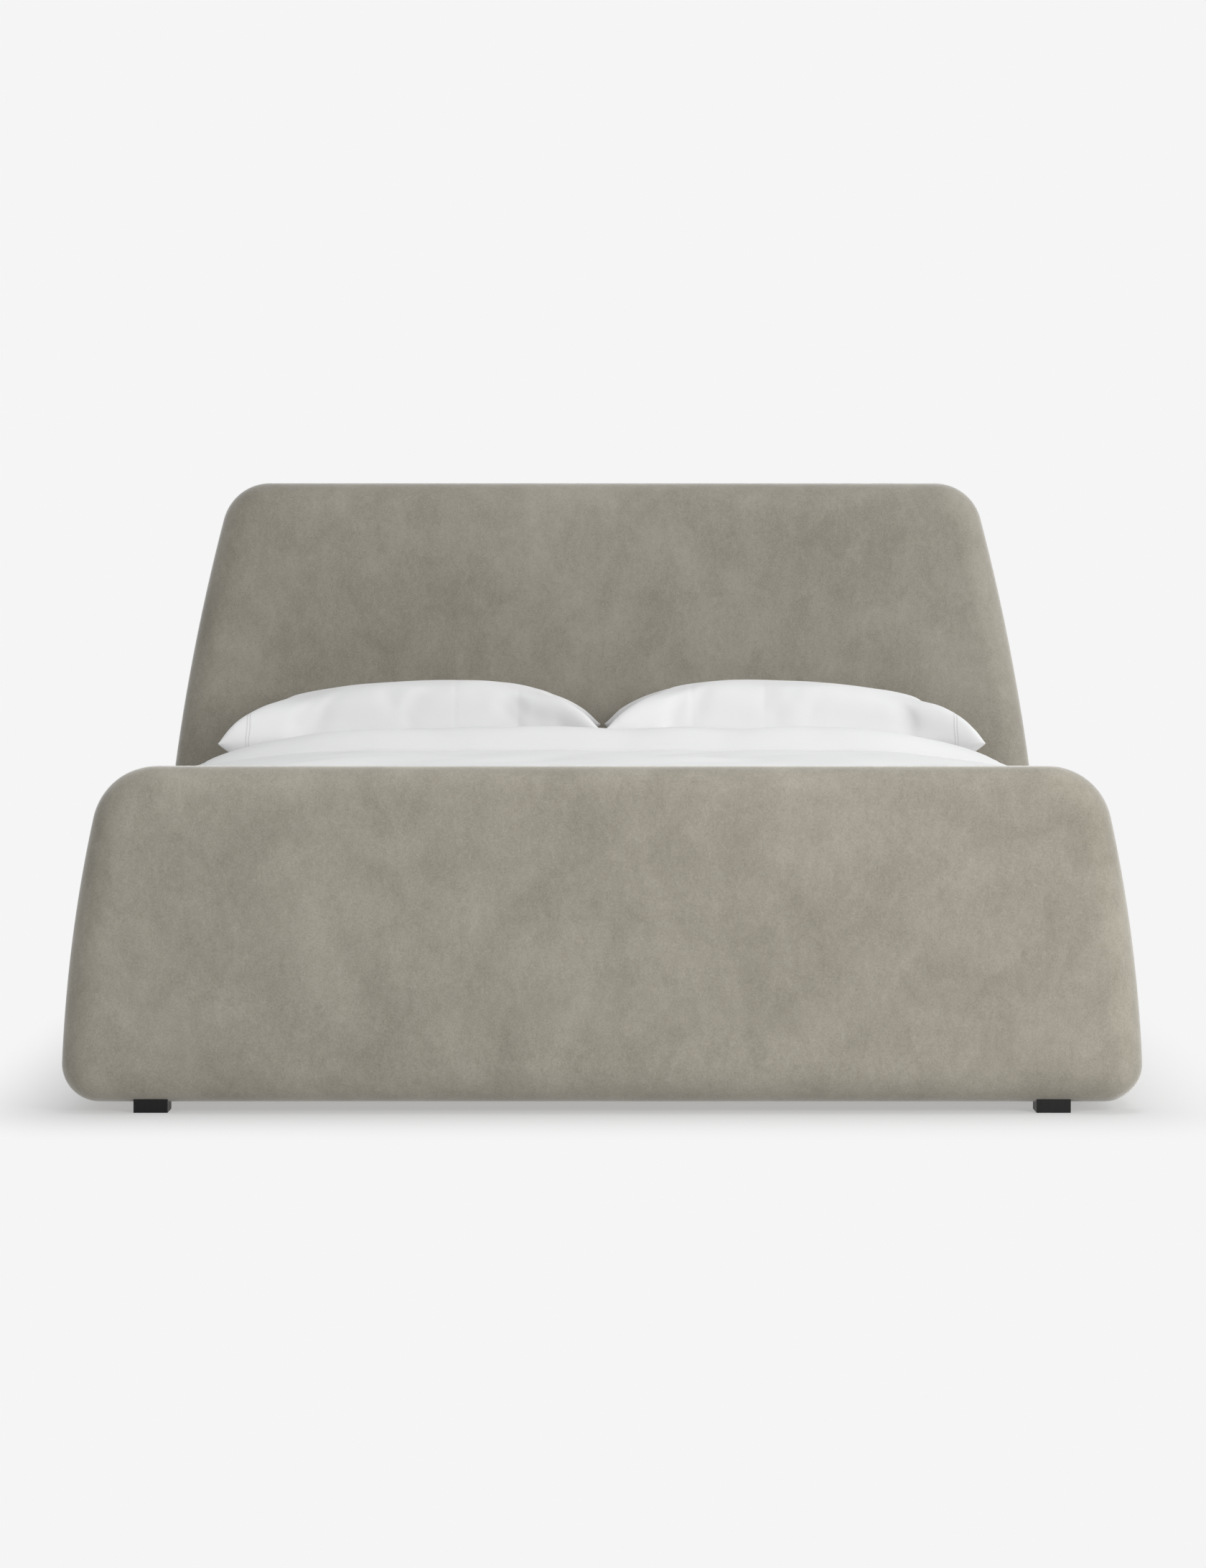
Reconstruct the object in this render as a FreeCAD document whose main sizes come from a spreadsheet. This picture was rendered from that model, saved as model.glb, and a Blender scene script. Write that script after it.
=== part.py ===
"""Upholstered king-size sleigh bed with its mattress and bedding, in millimetres.

X runs across the bed, Y from the foot end to the head end and Z up. The origin is on the floor
under the middle of the whole bed. The headboard and the footboard are padded slabs that curl
outwards: each is a plywood and timber box, wrapped in foam and covered in fabric.
"""

import math
import operator
import os

import FreeCAD
import Part
import Sketcher

os.makedirs("parts", exist_ok=True)
doc = FreeCAD.newDocument("sleigh_bed")
sheet = doc.addObject("Spreadsheet::Sheet", "sizes")


class Size:
    """A length with its value and the expression that gives it from the spreadsheet."""

    def __init__(self, value, text):
        self.value = value
        self.text = text

    def joined(self, other, sign, work, swap=False):
        if not isinstance(other, Size):
            other = Size(other, repr(other))
        left, right = (other, self) if swap else (self, other)
        return Size(work(left.value, right.value), f"({left.text} {sign} {right.text})")

    def __add__(self, other):
        return self.joined(other, "+", operator.add)

    def __radd__(self, other):
        return self.joined(other, "+", operator.add, swap=True)

    def __sub__(self, other):
        return self.joined(other, "-", operator.sub)

    def __rsub__(self, other):
        return self.joined(other, "-", operator.sub, swap=True)

    def __mul__(self, other):
        return self.joined(other, "*", operator.mul)

    __rmul__ = __mul__

    def __truediv__(self, other):
        return self.joined(other, "/", operator.truediv)

    def __neg__(self):
        return self * -1

    def root(self):
        return Size(math.sqrt(self.value), f"sqrt({self.text})")


nothing = Size(0.0, "0")


def driving(name, value):
    """Write one driving dimension into the next row of the spreadsheet and name its cell."""
    driving.row += 1
    sheet.set(f"A{driving.row}", name)
    sheet.set(f"B{driving.row}", str(value))
    sheet.setAlias(f"B{driving.row}", name)
    return Size(float(value), f"sizes.{name}")


driving.row = 0

# Padded boards at the two ends.
base_width = driving("base_width", 2120)
underside = driving("underside", 20)
board_thickness = driving("board_thickness", 165)
base_corner = driving("base_corner", 75)
edge_rounding = driving("edge_rounding", 70)
seam_depth = driving("seam_depth", 75)
curve_start = driving("curve_start", 165)
inner_length = driving("inner_length", 2050)
head_top = driving("head_top", 1285)
head_curve = driving("head_curve", 5800)
head_side_radius = driving("head_side_radius", 5240)
head_side_centre = driving("head_side_centre", -74)
head_corner = driving("head_corner", 114)
head_post_x = driving("head_post_x", 760)
foot_top = driving("foot_top", 680)
foot_curve = driving("foot_curve", 2800)
foot_side_radius = driving("foot_side_radius", 2630)
foot_side_centre = driving("foot_side_centre", -18)
foot_corner = driving("foot_corner", 130)
foot_post_x = driving("foot_post_x", 830)

# Layers of a board: fabric, foam, plywood, and the timber between the plywood panels.
fabric = driving("fabric", 3)
padding = driving("padding", 30)
plywood = driving("plywood", 6)
top_rail_depth = driving("top_rail_depth", 45)
bottom_rail_depth = driving("bottom_rail_depth", 70)
rib_thickness = driving("rib_thickness", 24)
rib_spacing = driving("rib_spacing", 400)

# Side rails.
rail_inner_x = driving("rail_inner_x", 972)
rail_top = driving("rail_top", 390)
rail_inset = driving("rail_inset", 6)
rail_top_rounding = driving("rail_top_rounding", 22)
rail_base_rounding = driving("rail_base_rounding", 60)
rail_plank = driving("rail_plank", 22)
plank_low = driving("plank_low", 45)
plank_high = driving("plank_high", 355)
end_gap = driving("end_gap", 1)

# Slatted base.
ledger_width = driving("ledger_width", 30)
ledger_depth = driving("ledger_depth", 40)
slat_seat = driving("slat_seat", 298)
slat_count = 12
slat_width = driving("slat_width", 90)
slat_thickness = driving("slat_thickness", 18)
slat_pitch = driving("slat_pitch", 168)
slat_length = driving("slat_length", 1936)
beam_width = driving("beam_width", 60)
beam_depth = driving("beam_depth", 80)
leg_side = driving("leg_side", 50)
leg_low = driving("leg_low", 30)
leg_spacing = driving("leg_spacing", 640)
glide_radius = driving("glide_radius", 20)
glide_thickness = driving("glide_thickness", 8)
stem_radius = driving("stem_radius", 4)
stem_top = driving("stem_top", 84)
stem_clearance = driving("stem_clearance", 0.08)

# Steel fittings and fasteners.
steel = driving("steel", 4)
bracket_reach = driving("bracket_reach", 80)
bracket_low = driving("bracket_low", 95)
bracket_high = driving("bracket_high", 235)
bolt_radius = driving("bolt_radius", 4)
bolt_clearance = driving("bolt_clearance", 0.5)
bolt_head_radius = driving("bolt_head_radius", 6.5)
bolt_head_depth = driving("bolt_head_depth", 5)
bolt_x = driving("bolt_x", 930)
bolt_low = driving("bolt_low", 130)
bolt_high = driving("bolt_high", 200)
insert_radius = driving("insert_radius", 6)
insert_length = driving("insert_length", 25)
screw_radius = driving("screw_radius", 2.5)
screw_length = driving("screw_length", 22)
slat_screw_length = driving("slat_screw_length", 40)

# Block feet.
foot_width = driving("foot_width", 67)
foot_depth = driving("foot_depth", 93)
foot_centre_x = driving("foot_centre_x", 884)
foot_edge = driving("foot_edge", 1.5)

# Mattress and bedding.
mattress_width = driving("mattress_width", 1930)
mattress_length = driving("mattress_length", 2030)
mattress_depth = driving("mattress_depth", 305)
mattress_rounding = driving("mattress_rounding", 40)
body_gap = driving("body_gap", 0.5)
bed_sheet = driving("bed_sheet", 2)
duvet_depth = driving("duvet_depth", 42)
duvet_side = driving("duvet_side", 24)
duvet_hem = driving("duvet_hem", 412)
duvet_fold_start = driving("duvet_fold_start", 60)
duvet_fold_end = driving("duvet_fold_end", 360)
duvet_rounding = driving("duvet_rounding", 20)
pillow_width = driving("pillow_width", 885)
pillow_length = driving("pillow_length", 520)
pillow_depth = driving("pillow_depth", 188)
pillow_rounding = driving("pillow_rounding", 80)
pillow_start = driving("pillow_start", 500)
pillow_gap = driving("pillow_gap", 8)

half_width = base_width / 2
wood_inset = fabric + padding
timber_inset = wood_inset + plywood
beam_low = slat_seat - beam_depth

HEAD = {
    "name": "headboard",
    "sign": 1,
    "top": head_top,
    "curve": head_curve,
    "side_radius": head_side_radius,
    "side_centre": head_side_centre,
    "corner": head_corner,
    "post_x": head_post_x,
}
FOOT = {
    "name": "footboard",
    "sign": -1,
    "top": foot_top,
    "curve": foot_curve,
    "side_radius": foot_side_radius,
    "side_centre": foot_side_centre,
    "corner": foot_corner,
    "post_x": foot_post_x,
}


def furthest_reach(board):
    """How far the rounded top edge of a board's outer face stands from the bed's middle."""
    face = board["curve"] - board_thickness / 2
    centre = inner_length / 2 + board["curve"] + board_thickness / 2
    rounding_height = board["top"] - edge_rounding - curve_start
    to_rounding = face + edge_rounding
    across = (to_rounding * to_rounding - rounding_height * rounding_height).root()
    return centre - across + edge_rounding


# The mattress well is this far off the origin, so that the origin is under the bed's middle.
well_y = (furthest_reach(FOOT) - furthest_reach(HEAD)) / 2


def at_y(sign, distance):
    """A place measured from the middle of the mattress well towards one end of the bed."""
    return well_y + distance if sign > 0 else well_y - distance


def bind(thing, prop, size):
    thing.setExpression(prop, size.text)


def new_body(label):
    body = doc.addObject("PartDesign::Body", label)
    body.Label = label
    return body


def new_sketch(body, role, offset=None):
    """A sketch on one of the body's own origin planes, moved along the plane's normal."""
    sketch = body.newObject("Sketcher::SketchObject", f"{body.Label}_sketch")
    plane = next(f for f in body.Origin.OriginFeatures if f.Role == role)
    sketch.AttachmentSupport = [(plane, "")]
    sketch.MapMode = "FlatFace"
    if offset is not None:
        bind(sketch, "AttachmentOffset.Base.z", offset)
    return sketch


def constrain(sketch, *words, size=None):
    """Add one constraint, with its value bound to the spreadsheet if it has one."""
    if size is None:
        sketch.addConstraint(Sketcher.Constraint(*words))
        return
    index = sketch.addConstraint(Sketcher.Constraint(*words, size.value))
    bind(sketch, f"Constraints[{index}]", size)


def add_line(sketch, start, end):
    return sketch.addGeometry(Part.LineSegment(start, end), False)


def add_arc(sketch, centre, radius, start_angle, end_angle):
    circle = Part.Circle(centre, FreeCAD.Vector(0, 0, 1), radius)
    return sketch.addGeometry(Part.ArcOfCircle(circle, start_angle, end_angle), False)


def add_polygon(sketch, corners):
    """Straight lines through the corners, with both coordinates of each corner bound."""
    points = [FreeCAD.Vector(u.value, v.value, 0) for u, v in corners]
    lines = [add_line(sketch, a, b) for a, b in zip(points, points[1:] + points[:1])]
    for line, following in zip(lines, lines[1:] + lines[:1]):
        constrain(sketch, "Coincident", line, 2, following, 1)
    for line, (u, v) in zip(lines, corners):
        constrain(sketch, "DistanceX", -1, 1, line, 1, size=u)
        constrain(sketch, "DistanceY", -1, 1, line, 1, size=v)


def add_rectangle(sketch, left, right, low, high):
    add_polygon(sketch, [(left, low), (right, low), (right, high), (left, high)])


def add_circles(sketch, centres, radius):
    for u, v in centres:
        circle = Part.Circle(FreeCAD.Vector(u.value, v.value, 0), FreeCAD.Vector(0, 0, 1), radius.value)
        index = sketch.addGeometry(circle, False)
        constrain(sketch, "Radius", index, size=radius)
        constrain(sketch, "DistanceX", -1, 1, index, 3, size=u)
        constrain(sketch, "DistanceY", -1, 1, index, 3, size=v)


def extrude(body, kind, sketch, length=None, back=False, centred=False):
    """Pad a sketch, or pocket the body with it: to a length, or right through both ways."""
    feature = body.newObject(f"PartDesign::{kind}", f"{body.Label}_{kind.lower()}")
    feature.Profile = sketch
    if length is None:
        feature.Type = "ThroughAll"
        feature.Midplane = True
    else:
        bind(feature, "Length", length)
        feature.Midplane = centred
        feature.Reversed = back
    return feature


def round_edges(body, edges, radius):
    feature = body.newObject("PartDesign::Fillet", f"{body.Label}_fillet")
    feature.Base = (edges[0], edges[1])
    bind(feature, "Radius", radius)
    doc.recompute()
    return feature


def edge_names(shape, wanted):
    return [f"Edge{i + 1}" for i, edge in enumerate(shape.Edges) if wanted(edge)]


def add_board_profile(sketch, board, inner_depth, outer_depth, low, high):
    """The slab's side profile between two depths behind its inner face, as concentric arcs."""
    sign = board["sign"]
    inner_face = board["curve"] + board_thickness / 2
    centre_y = at_y(sign, inner_length / 2 + inner_face)
    centre = FreeCAD.Vector(centre_y.value, curve_start.value, 0)
    arcs = []
    for depth in (inner_depth, outer_depth):
        radius = inner_face - depth
        drop = math.asin((low.value - curve_start.value) / radius.value)
        rise = math.asin((high.value - curve_start.value) / radius.value)
        if sign > 0:
            arc = add_arc(sketch, centre, radius.value, math.pi - rise, math.pi - drop)
        else:
            arc = add_arc(sketch, centre, radius.value, drop, rise)
        constrain(sketch, "Radius", arc, size=radius)
        arcs.append(arc)
    inner, outer = arcs
    low_end, high_end = (2, 1) if sign > 0 else (1, 2)
    bottom = add_line(sketch, sketch.getPoint(inner, low_end), sketch.getPoint(outer, low_end))
    top = add_line(sketch, sketch.getPoint(inner, high_end), sketch.getPoint(outer, high_end))
    for line, end, height in ((bottom, low_end, low), (top, high_end, high)):
        constrain(sketch, "Coincident", line, 1, inner, end)
        constrain(sketch, "Coincident", line, 2, outer, end)
        constrain(sketch, "Horizontal", line)
        constrain(sketch, "DistanceY", -1, 1, line, 1, size=height)
    constrain(sketch, "Coincident", inner, 3, outer, 3)
    constrain(sketch, "DistanceX", -1, 1, inner, 3, size=centre_y)
    constrain(sketch, "DistanceY", -1, 1, inner, 3, size=curve_start)


def add_board_outline(sketch, board, inset):
    """The slab's front outline, drawn in by an inset: a chain of tangent arcs on each side."""
    corner_x = half_width - base_corner
    corner_z = underside + base_corner
    top_z = board["top"] - board["corner"]
    side = board["side_radius"]
    low_rise = corner_z.value - board["side_centre"].value
    high_rise = top_z.value - board["side_centre"].value
    side_x = corner_x.value - math.sqrt((side.value - base_corner.value) ** 2 - low_rise**2)
    top_x = side_x + math.sqrt((side.value - board["corner"].value) ** 2 - high_rise**2)
    low_angle = math.asin(low_rise / (side.value - base_corner.value))
    high_angle = math.asin(high_rise / (side.value - board["corner"].value))
    chains = []
    for hand in (1, -1):
        arcs = []
        for radius, x, z, start, end in (
            (base_corner, corner_x.value, corner_z.value, -math.pi / 2, low_angle),
            (side, side_x, board["side_centre"].value, low_angle, high_angle),
            (board["corner"], top_x, top_z.value, high_angle, math.pi / 2),
        ):
            if hand < 0:
                start, end = math.pi - end, math.pi - start
            centre = FreeCAD.Vector(hand * x, z, 0)
            arc = add_arc(sketch, centre, radius.value - inset.value, start, end)
            constrain(sketch, "Radius", arc, size=radius - inset)
            arcs.append(arc)
        chains.append(arcs)
    for hand, (low_arc, side_arc, high_arc) in zip((1, -1), chains):
        ahead, behind = (2, 1) if hand > 0 else (1, 2)
        constrain(sketch, "DistanceX", -1, 1, low_arc, 3, size=corner_x * hand)
        constrain(sketch, "DistanceY", -1, 1, low_arc, 3, size=corner_z)
        constrain(sketch, "DistanceY", -1, 1, side_arc, 3, size=board["side_centre"])
        constrain(sketch, "DistanceY", -1, 1, high_arc, 3, size=top_z)
        constrain(sketch, "Tangent", low_arc, ahead, side_arc, behind)
        constrain(sketch, "Tangent", side_arc, ahead, high_arc, behind)
    right, left = chains
    bottom = add_line(sketch, sketch.getPoint(left[0], 2), sketch.getPoint(right[0], 1))
    top = add_line(sketch, sketch.getPoint(right[2], 2), sketch.getPoint(left[2], 1))
    constrain(sketch, "Tangent", bottom, 1, left[0], 2)
    constrain(sketch, "Tangent", bottom, 2, right[0], 1)
    constrain(sketch, "Tangent", top, 1, right[2], 2)
    constrain(sketch, "Tangent", top, 2, left[2], 1)


def board_piece(label, board, depths, heights, widths=None, outline=None):
    """A piece of a board: the curved slab between two depths, cut to widths or to the outline."""
    body = new_body(label)
    left, right = widths if widths else (-half_width, half_width)
    profile = new_sketch(body, "YZ_Plane", left)
    add_board_profile(profile, board, *depths, *heights)
    extrude(body, "Pad", profile, right - left)
    if outline is not None:
        trim = new_sketch(body, "XZ_Plane")
        reach = half_width + board_thickness
        add_rectangle(trim, -reach, reach, -board_thickness, board["top"] + board_thickness)
        add_board_outline(trim, board, outline)
        extrude(body, "Pocket", trim)
    doc.recompute()
    return body


def padded_half(label, board, inset, inner):
    """The inner or the outer half of the whole slab, drawn in by an inset, with a round rim."""
    if inner:
        depths = (inset, seam_depth)
        face_depth = depths[0]
    else:
        depths = (seam_depth, board_thickness - inset)
        face_depth = depths[1]
    heights = (underside + inset, board["top"] - inset)
    body = board_piece(label, board, depths, heights, outline=inset)
    face_radius = board["curve"].value + board_thickness.value / 2 - face_depth.value

    def on_face(edge):
        return any(edge.isSame(other) for other in face.Edges)

    face = next(
        f
        for f in body.Shape.Faces
        if f.Surface.TypeId == "Part::GeomCylinder"
        and abs(f.Surface.Radius - face_radius) < 1e-4
    )
    round_edges(body, (body.Tip, edge_names(body.Shape, on_face)), edge_rounding - inset)
    return body


def box(label, x, y, z):
    """A plain box between two places on each axis."""
    thing = doc.addObject("Part::Box", label)
    thing.Label = label
    for (low, high), prop, axis in zip((x, y, z), ("Length", "Width", "Height"), "xyz"):
        bind(thing, prop, high - low)
        bind(thing, f"Placement.Base.{axis}", low)
    return thing


def rod(label, x, y, z, radius, length, along_y=0, along_x=0):
    """A round bar from a place upwards, or along Y or X when its sign is given as +1 or -1."""
    thing = doc.addObject("Part::Cylinder", label)
    thing.Label = label
    bind(thing, "Radius", radius)
    bind(thing, "Height", length)
    if along_y:
        thing.Placement.Rotation = FreeCAD.Rotation(FreeCAD.Vector(1, 0, 0), -90 * along_y)
    if along_x:
        thing.Placement.Rotation = FreeCAD.Rotation(FreeCAD.Vector(0, 1, 0), 90 * along_x)
    for axis, size in zip("xyz", (x, y, z)):
        bind(thing, f"Placement.Base.{axis}", size)
    return thing


def group(label, things):
    """Separate solids that share one node, or several tools for one cut."""
    thing = doc.addObject("Part::Compound", label)
    thing.Label = label
    thing.Links = things
    return thing


def cut(label, base, tool):
    thing = doc.addObject("Part::Cut", label)
    thing.Label = label
    thing.Base = base
    thing.Tool = tool
    return thing


def fuse(label, things):
    thing = doc.addObject("Part::MultiFuse", label)
    thing.Label = label
    thing.Shapes = things
    return thing


def soft_block(label, x, y, z, rounding):
    """A closed block with every edge rounded, for a mattress or a pillow."""
    body = new_body(label)
    sketch = new_sketch(body, "XY_Plane", z[0])
    add_rectangle(sketch, *x, *y)
    extrude(body, "Pad", sketch, z[1] - z[0])
    doc.recompute()
    round_edges(body, (body.Tip, edge_names(body.Shape, lambda edge: True)), rounding)
    return body


nodes = []


def keep(thing):
    nodes.append(thing)
    return thing


def both_sides(pair):
    """The same span on the right and on the left of the bed."""
    low, high = pair
    return (("right", (low, high)), ("left", (-high, -low)))


# Four block feet under the boards, let into the padding up to the timber.
board_middle = inner_length / 2 + board_thickness / 2
foot_top_z = underside + wood_inset
feet = {}
for board, end in ((FOOT, "foot"), (HEAD, "head")):
    feet[board["name"]] = []
    near = at_y(board["sign"], board_middle)
    for hand, span in both_sides((foot_centre_x - foot_width / 2, foot_centre_x + foot_width / 2)):
        block = new_body(f"{end}_{hand}_block_foot")
        sole = new_sketch(block, "XY_Plane")
        add_rectangle(sole, *span, near - foot_depth / 2, near + foot_depth / 2)
        extrude(block, "Pad", sole, foot_top_z)
        doc.recompute()
        upright = edge_names(block.Shape, lambda edge: abs(edge.tangentAt(0).z) > 0.9)
        round_edges(block, (block.Tip, upright), foot_edge)
        hand_x = foot_centre_x if hand == "right" else -foot_centre_x
        bore = rod(f"{end}_{hand}_foot_bore", hand_x, near, underside, bolt_radius, foot_top_z)
        feet[board["name"]].append(block)
        keep(cut(f"{end}_{hand}_foot", block, bore))

# Packing blocks that carry the steel fittings on the boards' inner faces.
block_sides = both_sides((rail_inner_x - bracket_reach, rail_inner_x))
packing = {}
packing_pieces = []
for board in (FOOT, HEAD):
    sign = board["sign"]
    spans = [(x, (bracket_low, bracket_high)) for _, x in block_sides]
    spans.append(((-beam_width, beam_width), (beam_low - bracket_reach / 2, slat_seat)))
    face, back = at_y(sign, inner_length / 2), at_y(sign, inner_length / 2 + wood_inset)
    depth = (face, back) if sign > 0 else (back, face)
    packing[board["name"]] = [
        box(f"{board['name']}_packing_{i}", x, depth, z) for i, (x, z) in enumerate(spans)
    ]
    packing_pieces += packing[board["name"]]

# Bolts through the fittings, the packing blocks and the inner panels into threaded inserts.
bolt_places = [(x, z) for x in (bolt_x, -bolt_x) for z in (bolt_low, bolt_high)]
bolt_start = inner_length / 2 - steel - bolt_head_depth
shank_end = inner_length / 2 + timber_inset + insert_length
shank_length = shank_end - inner_length / 2 + steel
bolts = []
inserts = []
clear_holes = {"headboard": [], "footboard": []}
insert_holes = []
for board in (FOOT, HEAD):
    sign = board["sign"]
    for i, (x, z) in enumerate(bolt_places):
        tag = f"{board['name']}_{i}"
        start = at_y(sign, bolt_start)
        under_head = at_y(sign, inner_length / 2 - steel)
        timber_face = at_y(sign, inner_length / 2 + timber_inset)
        insert_start = at_y(sign, inner_length / 2 + timber_inset + body_gap)
        head = rod(f"bolt_head_{tag}", x, start, z, bolt_head_radius, bolt_head_depth, sign)
        shank = rod(f"bolt_shank_{tag}", x, under_head, z, bolt_radius, shank_length, sign)
        bolts.append(fuse(f"bolt_{tag}", [head, shank]))
        sleeve = rod(f"sleeve_{tag}", x, insert_start, z, insert_radius, insert_length, sign)
        core = rod(f"sleeve_core_{tag}", x, insert_start, z, bolt_radius, insert_length, sign)
        inserts.append(cut(f"insert_{tag}", sleeve, core))
        wide = bolt_radius + bolt_clearance
        clear_hole = rod(f"clear_{tag}", x, start, z, wide, shank_end - bolt_start, sign)
        clear_holes[board["name"]].append(clear_hole)
        pocket_length = insert_length + body_gap
        insert_holes.append(rod(f"hole_{tag}", x, timber_face, z, insert_radius, pocket_length, sign))
clear_tool = group("bolt_clearances", clear_holes["footboard"] + clear_holes["headboard"])
insert_tool = group("insert_pockets", insert_holes)

# Hanger bolts that hold the feet, standing in the feet and the timber above them.
hanger_bolts = []
for board in (FOOT, HEAD):
    near = at_y(board["sign"], board_middle)
    for x in (foot_centre_x, -foot_centre_x):
        tag = f"hanger_bolt_{board['name']}_{'right' if x.value > 0 else 'left'}"
        hanger_bolts.append(rod(tag, x, near, underside, bolt_radius, foot_top_z))
hanger_tool = group("hanger_tools", hanger_bolts)

# The two padded boards.
for board in (FOOT, HEAD):
    name = board["name"]
    core_heights = (underside + wood_inset, board["top"] - wood_inset)
    core_depths = (wood_inset, board_thickness - wood_inset)
    timber_depths = (timber_inset, board_thickness - timber_inset)
    core = board_piece(f"{name}_core", board, core_depths, core_heights, outline=wood_inset)
    openings = fuse(f"{name}_openings", feet[name] + packing[name] + clear_holes[name])
    for inner, face in ((True, "inner"), (False, "outer")):
        skin = padded_half(f"{name}_{face}_skin", board, nothing, inner)
        pad = padded_half(f"{name}_{face}_pad", board, fabric, inner)
        shell = cut(f"{name}_{face}_shell", skin, pad)
        tray = cut(f"{name}_{face}_tray", pad, core)
        keep(cut(f"{name}_{face}_cover", shell, openings))
        keep(cut(f"{name}_{face}_foam", tray, openings))
        panel_depths = (
            (wood_inset, timber_inset)
            if inner
            else (board_thickness - timber_inset, board_thickness - wood_inset)
        )
        label = f"{name}_{face}_panel"
        panel = board_piece(f"{label}_blank", board, panel_depths, core_heights, outline=wood_inset)
        keep(cut(label, panel, clear_tool))
    for hand, span in both_sides((board["post_x"], half_width)):
        label = f"{name}_{hand}_post"
        post = board_piece(f"{label}_blank", board, timber_depths, core_heights, span, wood_inset)
        drilled = cut(f"{label}_drilled", post, insert_tool)
        keep(cut(label, drilled, hanger_tool))
    across = (-board["post_x"], board["post_x"])
    low, high = core_heights
    rail_split = low + bottom_rail_depth
    cap_split = high - top_rail_depth
    keep(board_piece(f"{name}_bottom_rail", board, timber_depths, (low, rail_split), across))
    keep(board_piece(f"{name}_top_rail", board, timber_depths, (cap_split, high), across))
    ribs = []
    for i in (-1, 0, 1):
        middle = rib_spacing * i
        span = (middle - rib_thickness / 2, middle + rib_thickness / 2)
        heights = (rail_split, cap_split)
        ribs.append(board_piece(f"{name}_rib_{i + 2}", board, timber_depths, heights, span))
    keep(group(f"{name}_ribs", ribs))

keep(cut("packing_blocks", group("packing_blanks", packing_pieces), clear_tool))
keep(group("board_bolts", bolts))
keep(group("threaded_inserts", inserts))
keep(group("foot_hanger_bolts", hanger_bolts))


def outline_x(board, height):
    """Half the board's width at a height, on its long side arc."""
    low_rise = underside + base_corner - board["side_centre"]
    to_corner = board["side_radius"] - base_corner
    side_x = half_width - base_corner - (to_corner * to_corner - low_rise * low_rise).root()
    rise = height - board["side_centre"]
    return side_x + (board["side_radius"] * board["side_radius"] - rise * rise).root()


# The rails start as long as this each way from the well's middle, and the boards trim them.
rail_reach = inner_length / 2 + board_thickness / 2


def trim_to_boards(body):
    """Cut both ends of a rail to the curve of the boards' inner faces, with a small gap."""
    sketch = new_sketch(body, "YZ_Plane")
    for board in (HEAD, FOOT):
        depths = (-end_gap, board_thickness)
        add_board_profile(sketch, board, *depths, -underside, rail_top + underside)
    extrude(body, "Pocket", sketch)


def rail_block(label, hand, inset):
    """The padded side rail drawn in by an inset, its outer side leaning in with the boards."""
    body = new_body(label)
    sketch = new_sketch(body, "XZ_Plane", rail_reach - well_y)
    low, high = underside + inset, rail_top - inset
    inner = rail_inner_x + inset
    outer_low = outline_x(FOOT, underside + base_corner) - rail_inset - inset
    outer_high = outline_x(FOOT, rail_top) - rail_inset - inset
    corners = [(inner, low), (outer_low, low), (outer_high, high), (inner, high)]
    if hand == "left":
        corners = [(-x, z) for x, z in corners]
    add_polygon(sketch, corners)
    extrude(body, "Pad", sketch, rail_reach * 2, back=True)
    doc.recompute()

    def lengthways(edge):
        return edge.Length > inner_length.value

    def is_base(edge):
        point = edge.valueAt(0)
        outside = abs(point.x) > rail_inner_x.value + rail_plank.value
        return lengthways(edge) and outside and point.z < plank_low.value

    def is_crest(edge):
        return lengthways(edge) and edge.valueAt(0).z > plank_high.value

    round_edges(body, (body.Tip, edge_names(body.Shape, is_base)), rail_base_rounding - inset)
    round_edges(body, (body.Tip, edge_names(body.Shape, is_crest)), rail_top_rounding - inset)
    trim_to_boards(body)
    doc.recompute()
    return body


# Wood screws through the brackets' wings into the rail planks.
bracket_screws = []
wing_screw_y = inner_length / 2 - bracket_reach * 3 / 4
for board in (FOOT, HEAD):
    for hand, side in (("right", 1), ("left", -1)):
        for i, height in enumerate((bolt_low, bolt_high)):
            tag = f"bracket_screw_{board['name']}_{hand}_{i}"
            start = (rail_inner_x - steel) * side
            near = at_y(board["sign"], wing_screw_y)
            screw = rod(tag, start, near, height, screw_radius, screw_length, along_x=side)
            bracket_screws.append(screw)
bracket_screw_tool = keep(group("bracket_screws", bracket_screws))

# Side rails: a plank with foam round its outer side and edges, under fabric.
plank_inner = rail_inner_x + fabric
for hand, plank_x in both_sides((plank_inner, plank_inner + rail_plank)):
    skin = rail_block(f"{hand}_rail_skin", hand, nothing)
    pad = rail_block(f"{hand}_rail_pad", hand, fabric)
    plank = new_body(f"{hand}_plank_blank")
    section = new_sketch(plank, "XZ_Plane", rail_reach - well_y)
    add_rectangle(section, *plank_x, plank_low, plank_high)
    extrude(plank, "Pad", section, rail_reach * 2, back=True)
    trim_to_boards(plank)
    doc.recompute()
    keep(cut(f"{hand}_rail_cover", cut(f"{hand}_rail_shell", skin, pad), bracket_screw_tool))
    keep(cut(f"{hand}_rail_foam", pad, plank))
    keep(cut(f"{hand}_rail_plank", plank, bracket_screw_tool))

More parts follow.
